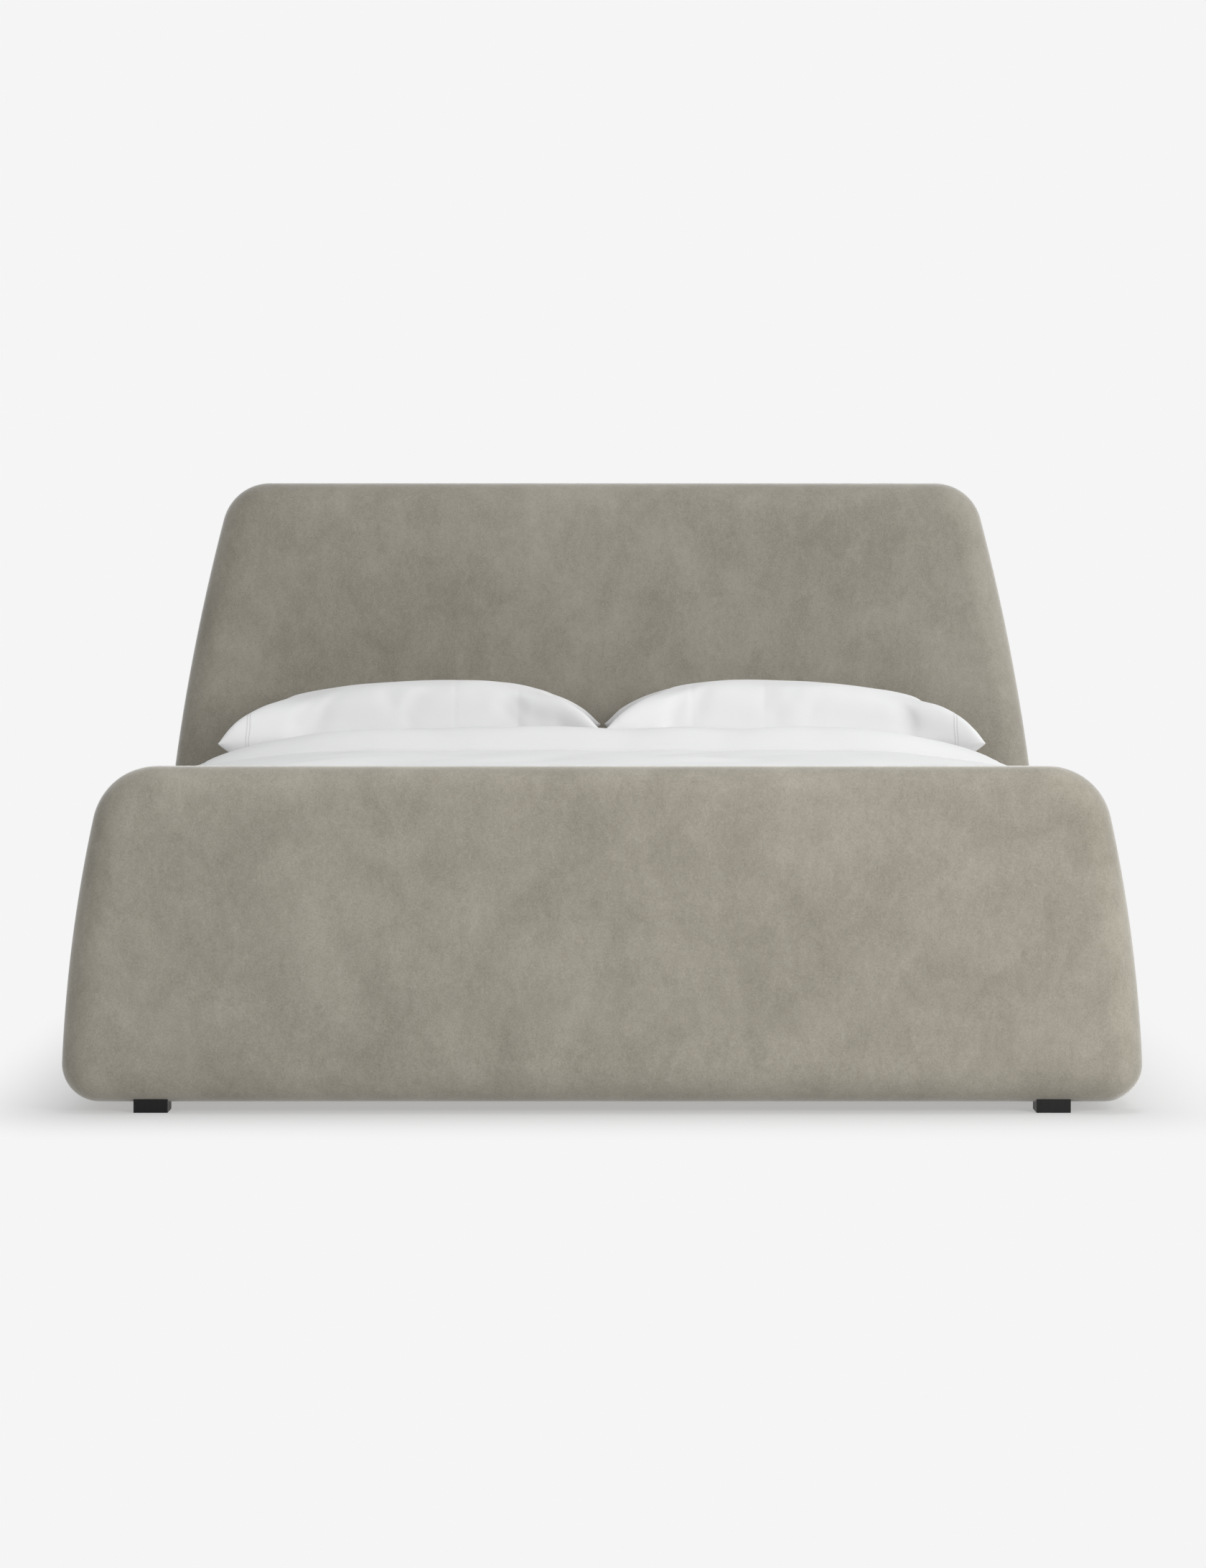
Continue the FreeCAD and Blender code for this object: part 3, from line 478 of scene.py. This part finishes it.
def make_rail(hand, side):
    """One rail's upholstery: a leaning block with rolled edges, ends curved to the boards."""
    size = (RAIL_OUTER_LOW - RAIL_INNER, 2.0, RAIL_TOP - UNDERSIDE)
    centre = ((RAIL_INNER + RAIL_OUTER_LOW) / 2, 0, (UNDERSIDE + RAIL_TOP) / 2)
    name = f"{hand}_rail_upholstery"
    piece = begin(bpy.ops.mesh.primitive_cube_add, name, size=1, location=centre, scale=size)
    bpy.ops.object.mode_set(mode="OBJECT")
    bpy.ops.object.transform_apply(location=True, rotation=True, scale=True)
    points = points_of(piece)
    lean = (points[:, 2] - UNDERSIDE) / (RAIL_TOP - UNDERSIDE)
    outer = points[:, 0] > RAIL_INNER + 0.01
    points[outer, 0] -= lean[outer] * (RAIL_OUTER_LOW - RAIL_OUTER_HIGH)
    move_points(piece, points)
    bpy.ops.object.mode_set(mode="EDIT")

    def lengthways(edge):
        return abs(edge.verts[0].co.y - edge.verts[1].co.y) > 1

    def outer_low(edge):
        return lengthways(edge) and edge.verts[0].co.z < 0.1 and edge.verts[0].co.x > 1.0

    pick("EDGE", outer_low)
    roll_edges(0.060, 9)
    pick("EDGE", lambda e: lengthways(e) and e.verts[0].co.z > RAIL_TOP - 0.001)
    roll_edges(0.022, 7)
    cut_at(1, [-0.995, -0.985, *strips(-1.0, 1.0, 0.04), 0.985, 0.995])
    cut_at(2, strips(0.085, 0.365, 0.035))
    bpy.ops.object.mode_set(mode="OBJECT")
    points = points_of(piece)
    length = points[:, 1].copy()
    low = board_y(-1, FOOT_FACE, -RAIL_GAP, points[:, 2])
    high = board_y(1, HEAD_FACE, -RAIL_GAP, points[:, 2])
    tuck = np.exp(-(((1 - np.abs(length)) / 0.012) ** 2)) * 0.003
    waist = points[:, 2] - centre[2]
    points[:, 0] += np.where(points[:, 0] > 1.0, -tuck, 0)
    for i, (x, y, z) in enumerate(points):
        if x > 0.98:
            swell = 0.003 * (1 - (waist[i] / 0.2) ** 2)
            points[i, 0] += swell + 0.0016 * noise.noise(Vector((side * 3, y * 5.0, z * 5.0)))
    points[:, 1] = low + (length + 1) / 2 * (high - low)
    points[:, 0] *= side
    move_points(piece, points)
    layers = (f"{hand}_rail_cover", f"{hand}_rail_foam")
    finish_piece(piece, mushroom_velvet, "frame", "velvet", *layers)


make_rail("left", -1)
make_rail("right", 1)


# Slatted base.
# Ledgers screwed along the rails and a pine beam on three legs carry twelve sprung birch
# slats. The legs end in black plastic glides that screw up and down to meet the floor.

ledger_pine = timber("ledger_pine", *PINE, "y")
paint(ledger_pine, "left_slat_ledger", "right_slat_ledger", "centre_beam")
slat_birch = timber("slat_birch", (0.80, 0.66, 0.46), (0.66, 0.48, 0.29), "x", 5.0, 0.45)
paint(slat_birch, "slats")


def moulded_plastic(name):
    """Black moulded plastic with a fine spark-eroded grain."""
    finish = Finish(name, 0.45)
    grain = finish.noise(finish.place(), 1400.0, 2.0, 0.6)
    wear = finish.noise(finish.place(), 60.0, 3.0, 0.6)
    black = finish.mix(wear, (0.012, 0.012, 0.012, 1), (0.024, 0.024, 0.025, 1))
    finish.surface(Base_Color=black)
    finish.surface(Roughness=wear * 0.25 + 0.32)
    finish.bump(grain, 0.0002, 0.4)
    return finish


black_plastic = moulded_plastic("black_plastic")
for place in ("foot", "middle", "head"):
    paint(black_plastic, f"{place}_levelling_glide")


# Mattress.
# A deep sprung mattress in a quilted, striped ticking. A border panel runs round it
# between two taped edges that stand proud.

MATTRESS_LOW = 0.3165
MATTRESS_TOP = 0.6215
MATTRESS_X = 0.965
MATTRESS_Y = 1.015
MATTRESS_ROUND = 0.040
QUILT_PITCH = 0.15


def ticking(name):
    """Off-white mattress ticking with thin woven stripes."""
    finish = Finish(name, 0.85)
    weave = finish.noise(finish.place((1, 0.3, 1)), 900.0, 2.0, 0.6)
    stripes = finish.node(
        "ShaderNodeTexWave",
        {"wave_type": "BANDS", "bands_direction": "DIAGONAL"},
        {"Vector": finish.place(), "Scale": 9.0, "Distortion": 0.0},
        output=1,
    ).between(0.82, 0.9)
    tone = stripes * 0.6 + weave * 0.15
    cotton = finish.mix(tone, (0.72, 0.71, 0.67, 1), (0.42, 0.44, 0.46, 1))
    finish.surface(Base_Color=cotton, Sheen_Weight=0.1)
    finish.bump(weave * 0.4 + stripes * 0.6, 0.0005, 0.5)
    return finish


def rounded_block(name, half_x, half_y, low, high, radius, middle_y):
    """A block with soft upright corners and rolled edges, in the way of a sewn case."""
    size = (half_x * 2, half_y * 2, high - low)
    centre = (0, middle_y, (low + high) / 2)
    piece = begin(bpy.ops.mesh.primitive_cube_add, name, size=1, location=centre, scale=size)
    bpy.ops.object.mode_set(mode="OBJECT")
    bpy.ops.object.transform_apply(location=True, rotation=True, scale=True)
    bpy.ops.object.mode_set(mode="EDIT")
    pick("EDGE", lambda e: abs(e.verts[0].co.z - e.verts[1].co.z) > (high - low) / 2)
    roll_edges(radius * 1.4, 8)
    pick("EDGE", lambda e: abs(e.verts[0].co.z - e.verts[1].co.z) < 1e-5)
    roll_edges(radius, 7)
    return piece


def make_mattress():
    """The mattress case, with a proud tape round each edge and a quilted underside."""
    inset = 0.004
    piece = rounded_block(
        "mattress_case",
        MATTRESS_X - inset,
        MATTRESS_Y - inset,
        MATTRESS_LOW,
        MATTRESS_TOP,
        MATTRESS_ROUND,
        WELL_MIDDLE,
    )
    tapes = (MATTRESS_LOW + 0.030, MATTRESS_TOP - 0.030)
    cut_at(2, [z + d for z in tapes for d in (-0.005, 0.005)])
    cut_at(2, strips(tapes[0] + 0.005, tapes[1] - 0.005, 0.04))
    cut_at(0, strips(-MATTRESS_X, MATTRESS_X, 0.06))
    cut_at(1, strips(WELL_MIDDLE - MATTRESS_Y, WELL_MIDDLE + MATTRESS_Y, 0.06))

    def on_tape(face):
        middle = face.calc_center_median()
        return abs(face.normal.z) < 0.9 and any(abs(middle.z - z) < 0.005 for z in tapes)

    pick("FACE", on_tape)
    bpy.ops.mesh.extrude_region_shrink_fatten(TRANSFORM_OT_shrink_fatten={"value": 0.0035})
    bpy.ops.object.mode_set(mode="OBJECT")
    points = points_of(piece)
    for i, (x, y, z) in enumerate(points):
        if z < MATTRESS_LOW + 0.012:
            quilting = cos(x * 2 * pi / QUILT_PITCH) * cos(y * 2 * pi / QUILT_PITCH)
            points[i, 2] += 0.0015 + 0.0015 * quilting
    move_points(piece, points)
    soften = piece.modifiers.new("soften", "BEVEL")
    soften.width = 0.002
    soften.segments = 2
    soften.limit_method = "ANGLE"
    soften.angle_limit = radians(50)
    bpy.ops.object.modifier_apply(modifier=soften.name)
    finish_piece(piece, ticking("striped_ticking"), "mattress", "mattress_ticking", "mattress")


make_mattress()


# Fitted sheet.
# White cotton percale pulled over the mattress. A soft elastic hem gathers it under the
# lower tape, so it is taut on top and puckers a little down the sides.

def percale(name, crease=0.5, hem=None):
    """Plain woven white cotton, softly creased with painted shade in the crease hollows, and with a
    double-stitched line painted grey as shade in its grooves if it has a hem.
    """
    finish = Finish(name, 0.88)
    warp = finish.noise(finish.place((1, 0.12, 0.4)), 1500.0, 1.0, 0.5)
    weft = finish.noise(finish.place((0.12, 1, 0.4)), 1500.0, 1.0, 0.5)
    creases = finish.noise(finish.place(), 9.0, 5.0, 0.55, 0.8)
    # The colour follows the crease noise and is a little darker in the crease hollows, which is
    # painted shade. The warp threads add a fine real tone.
    tone = creases * 0.7 + warp * 0.12
    cloth = finish.mix(tone, (0.665, 0.665, 0.663, 1), (0.70, 0.70, 0.698, 1))
    height = creases * crease + (warp + weft) * 0.03
    if hem:
        point = finish.place(output="UV")
        across = finish.node("ShaderNodeSeparateXYZ", {}, {0: point})
        along = finish.node("ShaderNodeSeparateXYZ", {}, {0: point}, output=1)
        stitches = (along * 420.0).sine().between(-0.6, -0.2) * 0.35
        for line in (hem, hem + 0.0075):
            # Each stitch line is a groove in the bump, and its colour is painted a darker grey as
            # shade in that groove.
            clear = (across - line).size().between(0.0006, 0.0020)
            cloth = finish.mix(clear, (0.56, 0.56, 0.555, 1), cloth)
            height = height + clear * 0.45 + (1 - clear) * stitches
    finish.surface(Base_Color=cloth)
    finish.surface(Sheen_Weight=0.12, Sheen_Roughness=0.5, Specular_IOR_Level=0.2)
    finish.bump(height, 0.004, 0.4)
    return finish


SHEET_LOW = 0.3565
SHEET_TOP = 0.6234
SHEET_THICK = 0.0010


def make_sheet():
    """The fitted sheet, cut from the mattress's own shape and puckered at its hem."""
    piece = rounded_block(
        "fitted_sheet_cotton",
        MATTRESS_X,
        MATTRESS_Y,
        MATTRESS_LOW,
        SHEET_TOP - SHEET_THICK,
        MATTRESS_ROUND,
        WELL_MIDDLE,
    )
    cut_at(2, [SHEET_LOW + 0.012, *strips(SHEET_LOW + 0.012, SHEET_TOP - 0.04, 0.02)])
    bpy.ops.mesh.select_all(action="SELECT")
    bpy.ops.mesh.bisect(plane_co=(0, 0, SHEET_LOW), plane_no=(0, 0, 1), clear_inner=True)
    cut_at(0, strips(-MATTRESS_X, MATTRESS_X, 0.024))
    cut_at(1, strips(WELL_MIDDLE - MATTRESS_Y, WELL_MIDDLE + MATTRESS_Y, 0.024))
    bpy.ops.object.mode_set(mode="OBJECT")
    points = points_of(piece)
    normals = np.array([v.normal for v in piece.data.vertices])
    for i, (x, y, z) in enumerate(points):
        drop = min(1.0, max(0.0, (SHEET_TOP - 0.05 - z) / 0.2))
        pucker = noise.noise(Vector((x * 26, y * 26, z * 3.0)))
        points[i] -= normals[i] * max(0.0, pucker) * 0.003 * drop
    move_points(piece, points)
    solid = piece.modifiers.new("cloth_thickness", "SOLIDIFY")
    solid.thickness = SHEET_THICK
    solid.offset = 1.0
    bpy.ops.object.modifier_apply(modifier=solid.name)
    finish_piece(piece, percale("sheet_percale", 0.8), "mattress", "white_sheet", "fitted_sheet")


make_sheet()


# Duvet.
# A down-filled duvet in a plain white cover. It hangs over both long sides of the
# mattress to just above the rails, and its head end is folded back once on itself.

DUVET_FOOT = -1.028
DUVET_FOLD = 0.328
DUVET_BACK = 0.035
DUVET_BASE = 0.6246
DUVET_EDGE = 0.925
DUVET_BEND = 0.043
DUVET_HEM = 0.414
LOFT = 0.0425
HEM_LOFT = 0.024
SHOULDER = 0.0075


def over_the_edge(run):
    """The line across the bed that the duvet lies on: place and outward direction."""
    side = 1 if run >= 0 else -1
    run = abs(run)
    bend = DUVET_BEND * pi / 2
    if run <= DUVET_EDGE:
        return side * run, DUVET_BASE, 0.0, 1.0
    if run <= DUVET_EDGE + bend:
        turn = (run - DUVET_EDGE) / DUVET_BEND
        x = DUVET_EDGE + DUVET_BEND * sin(turn)
        z = DUVET_BASE - DUVET_BEND + DUVET_BEND * cos(turn)
        return side * x, z, side * sin(turn), cos(turn)
    drop = run - DUVET_EDGE - bend
    return side * (DUVET_EDGE + DUVET_BEND), DUVET_BASE - DUVET_BEND - drop, side * 1.0, 0.0


def ease(value, low, high):
    share = min(1.0, max(0.0, (value - low) / (high - low)))
    return share * share * (3 - 2 * share)


def heaped(run):
    """How full the filling lies across the bed: 1 in the middle, 0 at the mattress edge."""
    return (1 - ease(abs(run), 0.50, 0.89)) ** 0.38


def fill_with_air(piece, pressure, frames, cap, stiffness=18.0):
    """Let pressure swell a closed cover, hold each point within the cap, and keep the result."""
    before = points_of(piece)
    cloth = piece.modifiers.new("air", "CLOTH")
    settings = cloth.settings
    settings.quality = 5
    settings.mass = 0.3
    settings.use_pressure = True
    settings.uniform_pressure_force = pressure
    settings.tension_stiffness = stiffness
    settings.compression_stiffness = stiffness
    settings.shear_stiffness = stiffness / 3
    settings.bending_stiffness = 0.4
    settings.effector_weights.gravity = 0
    cloth.collision_settings.use_collision = False
    cloth.point_cache.frame_start = 1
    cloth.point_cache.frame_end = frames
    for step in range(1, frames + 1):
        bpy.context.scene.frame_set(step)
    bpy.context.view_layer.objects.active = piece
    bpy.ops.object.modifier_apply(modifier=cloth.name)
    bpy.context.scene.frame_set(1)
    after = points_of(piece)
    moved = after - before
    length = np.maximum(np.linalg.norm(moved, axis=1), 1e-9)
    held = np.tanh(length / cap) * cap
    move_points(piece, before + moved * (held / length)[:, None])


def duvet_line(along, flat, turn, total, loft, thick, fullness):
    """Along the bed: up from the foot, round the fold, and back on top, as y and depth."""
    radius = (loft + 0.0015) / 2
    fold = DUVET_FOLD - radius - loft / 2
    if along <= flat:
        return DUVET_FOOT + (fold - DUVET_FOOT) * along / flat, loft / 2 + thick
    if along < flat + turn:
        angle = -pi / 2 + pi * (along - flat) / turn
        y = fold + (radius - thick) * cos(angle)
        return y, loft / 2 + radius + (radius - thick) * sin(angle)
    y = fold + (DUVET_BACK - fold) * (along - flat - turn) / (total - flat - turn)
    return y, loft * fullness / 2 + 2 * radius - thick


def hold_shoulders(piece):
    """Press the duvet's edges down where they turn over the mattress."""
    points = points_of(piece)
    for i, (x, y, z) in enumerate(points):
        side = 1 if x > 0 else -1
        out = abs(x) - DUVET_EDGE
        up = z - (DUVET_BASE - DUVET_BEND)
        if out <= 0:
            most = SHOULDER + 0.14 * heaped(x)
            share = max(0.0, z - DUVET_BASE) / most
            if share > 0.6:
                share = 0.6 + 0.4 * np.tanh((share - 0.6) / 0.4)
            points[i, 2] = DUVET_BASE + most * share
        elif up > 0:
            away = hypot(out, up)
            widest = DUVET_BEND + SHOULDER + 0.04 * (1 - up / away)
            reach = min(max(away, DUVET_BEND), widest) / away
            points[i, 0] = (DUVET_EDGE + out * reach) * side
            points[i, 2] = DUVET_BASE - DUVET_BEND + up * reach
        else:
            points[i, 0] = max(abs(x), DUVET_EDGE + DUVET_BEND) * side
    move_points(piece, points)


def make_duvet():
    """The duvet: a closed grid laid over the bed at its loft, then swelled with air."""
    half = DUVET_EDGE + DUVET_BEND * pi / 2 + (DUVET_BASE - DUVET_BEND - DUVET_HEM)
    flat = DUVET_FOLD - DUVET_FOOT
    turn = 0.066
    total = flat + turn + DUVET_FOLD - DUVET_BACK
    piece = begin(
        bpy.ops.mesh.primitive_grid_add,
        "duvet_quilt",
        x_subdivisions=168,
        y_subdivisions=124,
        size=2,
    )
    bpy.ops.mesh.extrude_region_move(TRANSFORM_OT_translate={"value": (0, 0, 1)})
    bpy.ops.object.mode_set(mode="OBJECT")
    points = points_of(piece)
    for i, (u, v, w) in enumerate(points):
        run = u * half
        along = (v + 1) / 2 * total
        side = 1 if w > 0.5 else -1
        x, z, out_x, out_z = over_the_edge(run)
        on_top = heaped(run)
        doubled = ease(along, flat - 0.40, flat - 0.22)
        hang = ease(abs(run), DUVET_EDGE, DUVET_EDGE + 0.10)
        hanging_loft = HEM_LOFT * (1 - 0.46 * doubled)
        shoulder_loft = 0.0065 - 0.0035 * doubled
        loft = LOFT * on_top + (1 - on_top) * (shoulder_loft * (1 - hang) + hanging_loft * hang)
        mirrored = min(along, 2 * flat + turn - along)
        wide = noise.noise(Vector((run * 2.0 + mirrored, mirrored * 2.6, 0.4)))
        fine = noise.noise(Vector((run * 7.0 - mirrored * 3, mirrored * 4.0, 2.1)))
        calm = 1 - 0.6 * doubled
        loft *= 1 + (0.30 * wide + 0.20 * fine) * calm
        wander = noise.noise(Vector((mirrored * 1.7, run, 5.2)))
        fold_wave = 0.5 + 0.5 * sin(mirrored * 2 * pi / 0.34 + 5.0 * wander)
        drape = 0.009 * fold_wave**2 * ease(abs(run), DUVET_EDGE + 0.04, half) * (1 - 0.5 * doubled)
        edge = min(along, half - abs(run))
        closing = sqrt(max(0.0, 1 - (1 - min(1.0, edge / 0.035)) ** 2))
        fullness = ease(total - along, -0.03, 0.10)
        closing *= fullness
        thick = side * max(0.0012, loft * closing) / 2
        y, depth = duvet_line(along, flat, turn, total, loft, thick, fullness)
        points[i] = (x + out_x * (depth + drape), y, z + out_z * depth)
    move_points(piece, points)
    fill_with_air(piece, 2.5, 14, 0.007)
    hold_shoulders(piece)
    finish_piece(piece, percale("duvet_percale", 0.7), "duvet", "white_duvet", "duvet", angle=80)


make_duvet()


# Pillows.
# Two wide, soft pillows in white percale cases. The case's open end is on the outer side,
# with a deep double-stitched hem, and fold lines from the packet still show.

PILLOW_INNER = 0.004
PILLOW_OUTER = 0.872
PILLOW_FRONT = 0.470
PILLOW_BACK = 0.990
PILLOW_BASE = 0.6243
PILLOW_CROWN = 0.820
PILLOW_SEAM_INNER = 0.712
PILLOW_SEAM_OUTER = 0.679
PILLOW_HIGH = 0.36
CASE_HEM = 0.075
CREST_STEPS = 60


def make_pillow(hand, side, creases, seed):
    """One pillow: two sewn panels swelled with air, then plumped to the case's outline."""
    width = PILLOW_OUTER - PILLOW_INNER
    depth = PILLOW_BACK - PILLOW_FRONT
    piece = begin(
        bpy.ops.mesh.primitive_grid_add,
        f"{hand}_pillow_cushion",
        x_subdivisions=104,
        y_subdivisions=64,
        size=2,
        calc_uvs=True,
    )
    bpy.ops.mesh.extrude_region_move(TRANSFORM_OT_translate={"value": (0, 0, 1)})
    bpy.ops.object.mode_set(mode="OBJECT")
    points = points_of(piece)
    for i, (u, v, w) in enumerate(points):
        edge = (1 - abs(u)) * (1 - abs(v))
        face = 1 if w > 0.5 else -1
        lump = 1 + 0.35 * noise.noise(Vector((u * 3, v * 2, seed)))
        pull_x = 1 - 0.03 * (1 - u * u)
        pull_y = 1 - 0.05 * (1 - v * v)
        thick = face * (0.004 + 0.05 * min(1.0, edge * 2) ** 0.7 * lump)
        points[i] = (u * width * 0.53 * pull_y, v * depth * 0.55 * pull_x, thick)
    move_points(piece, points)
    fill_with_air(piece, 5.0, 24, 0.10, stiffness=12.0)
    calm = piece.modifiers.new("calm", "SMOOTH")
    calm.factor = 0.5
    calm.iterations = 14
    bpy.ops.object.modifier_apply(modifier=calm.name)
    smooth = piece.modifiers.new("finer", "SUBSURF")
    smooth.levels = 1
    smooth.render_levels = 1
    bpy.ops.object.modifier_apply(modifier=smooth.name)
    points = points_of(piece)
    low = points.min(axis=0)
    high = points.max(axis=0)
    share = (points - low) / (high - low)
    columns = np.clip((share[:, 0] * CREST_STEPS).astype(int), 0, CREST_STEPS - 1)
    crest = np.array([points[columns == c, 2].max() for c in range(CREST_STEPS)])
    crest = np.convolve(np.pad(crest, 2, mode="edge"), np.ones(5) / 5, mode="valid")
    inner_run = np.clip(share[:, 0] / PILLOW_HIGH, 0, 1)
    outer_run = np.clip((1 - share[:, 0]) / (1 - PILLOW_HIGH), 0, 1)
    rise = np.sin(pi / 2 * inner_run**0.65) * np.sin(pi / 2 * outer_run**0.52)
    steps = np.arange(CREST_STEPS)
    crest_here = np.interp(share[:, 0] * CREST_STEPS - 0.5, steps, np.maximum(crest, 0.004))
    lift = points[:, 2] / crest_here
    seam = PILLOW_SEAM_INNER + (PILLOW_SEAM_OUTER - PILLOW_SEAM_INNER) * share[:, 0]
    sunk = points[:, 2] / -low[2]
    upper = seam + np.clip(lift, 0, 1.04) * rise * (PILLOW_CROWN - seam)
    under = seam + np.minimum(sunk, 0) * 0.14
    soft = 0.006
    clearance = np.clip((under - PILLOW_BASE) / soft, -30, 30)
    under = PILLOW_BASE + soft * np.log1p(np.exp(clearance))
    points[:, 0] = side * (PILLOW_INNER + width * share[:, 0])
    points[:, 1] = PILLOW_FRONT + depth * share[:, 1]
    points[:, 2] = np.where(points[:, 2] >= 0, upper, np.minimum(under, seam))
    for crease in creases:
        line = np.exp(-(((np.abs(points[:, 0]) - crease) / 0.005) ** 2))
        shown = np.clip((PILLOW_FRONT + 0.24 - points[:, 1]) / 0.1, 0, 1)
        points[:, 2] -= line * shown * 0.0010 * (points[:, 2] > seam)
    points[:, 2] = np.maximum(points[:, 2], PILLOW_BASE)
    move_points(piece, points)
    case = percale(f"{hand}_pillowcase_percale", 0.3, hem=1 - CASE_HEM / width)
    finish_piece(piece, case, hand + "_pillow", "white_pillowcase", f"{hand}_pillow", angle=80)


make_pillow("left", -1, (0.337, 0.192), 1.0)
make_pillow("right", 1, (0.205, 0.371), 5.0)


# Studio.
# A plain pale floor that runs into an even pale background, a broad soft key light from
# the upper right, and a camera just above the middle of the bed.

PAPER = 0.9131
SHADE_HALF_WIDTH = 0.96
SHADE_HALF_LENGTH = 1.13
SHADE_REACH = 0.62
UNDER_BED = 0.42


def make_floor():
    """A wide paper floor: shaded under and beside the bed, and blending into the background."""
    piece = begin(bpy.ops.mesh.primitive_plane_add, "studio_floor", size=60, location=(0, 0, 0))
    bpy.ops.mesh.subdivide(number_cuts=8)
    bpy.ops.object.mode_set(mode="OBJECT")
    paper = Finish("studio_paper", 1.0)
    point = paper.place()
    across, along = (
        paper.node("ShaderNodeSeparateXYZ", {}, {0: point}, output=i).size() for i in (0, 1)
    )
    beside = (across - SHADE_HALF_WIDTH).at_least(0.0) * 1.6
    before = (along - SHADE_HALF_LENGTH).at_least(0.0)
    far = (beside * beside + before * before).root()
    paper_share = far.between(0.02, SHADE_REACH) * (1 - UNDER_BED) + UNDER_BED
    glow = paper.node("ShaderNodeEmission", {}, {"Color": (PAPER, PAPER, PAPER, 1)})
    matt = paper.node("ShaderNodeBsdfDiffuse", {}, {"Color": (0.60, 0.60, 0.60, 1)})
    whole = paper.node("ShaderNodeMixShader", {}, {0: paper_share, 1: matt, 2: glow})
    surface = paper.tree.nodes["Material Output"].inputs["Surface"]
    paper.tree.links.new(whole.socket, surface)
    piece.data.materials.append(paper.material)


make_floor()


def light_the_room():
    """Even air light, with the plain background that the camera sees behind the bed."""
    world = bpy.data.worlds.new("studio_air")
    bpy.context.scene.world = world
    world.use_nodes = True
    tree = world.node_tree
    ambient = tree.nodes["Background"]
    ambient.inputs["Color"].default_value = (0.97, 0.985, 1.0, 1)
    ambient.inputs["Strength"].default_value = 0.45
    seen = tree.nodes.new("ShaderNodeBackground")
    seen.inputs["Color"].default_value = (PAPER, PAPER, PAPER, 1)
    ray = tree.nodes.new("ShaderNodeLightPath")
    choose = tree.nodes.new("ShaderNodeMixShader")
    tree.links.new(ray.outputs["Is Camera Ray"], choose.inputs[0])
    tree.links.new(ambient.outputs[0], choose.inputs[1])
    tree.links.new(seen.outputs[0], choose.inputs[2])
    tree.links.new(choose.outputs[0], tree.nodes["World Output"].inputs["Surface"])


light_the_room()


def softbox(name, place, aim, size, power, colour):
    """A round area lamp that faces a point."""
    bpy.ops.object.light_add(type="AREA", location=place)
    lamp = bpy.context.active_object
    lamp.name = name
    lamp.data.shape = "DISK"
    lamp.data.size = size
    lamp.data.energy = power
    lamp.data.color = colour
    lamp.rotation_euler = (Vector(aim) - Vector(place)).to_track_quat("-Z", "Y").to_euler()


softbox("key_softbox", (2.9, -5.1, 1.9), (0, -1.0, 0.5), 2.2, 153, (1.0, 0.99, 0.975))
softbox("overhead_softbox", (0.6, -0.9, 5.5), (0, -0.6, 0.4), 3.4, 119, (1.0, 1.0, 1.0))
softbox("side_softbox", (5.5, -1.5, 1.5), (0.9, -1.2, 0.5), 1.4, 50, (0.97, 0.985, 1.0))
softbox("headboard_rim_light", (2.4, 1.15, 1.6), (0.95, 1.1, 1.0), 0.5, 10, (0.97, 0.985, 1.0))

bpy.ops.object.camera_add(location=(0.0017, -11.44, 0.998), rotation=(radians(90 - 1.975), 0, 0))
camera = bpy.context.active_object
camera.name = "studio_camera"
camera.data.lens = 120.6
camera.data.sensor_width = 36
camera.data.clip_end = 200
bpy.context.scene.camera = camera
bpy.context.scene.view_settings.view_transform = "Standard"
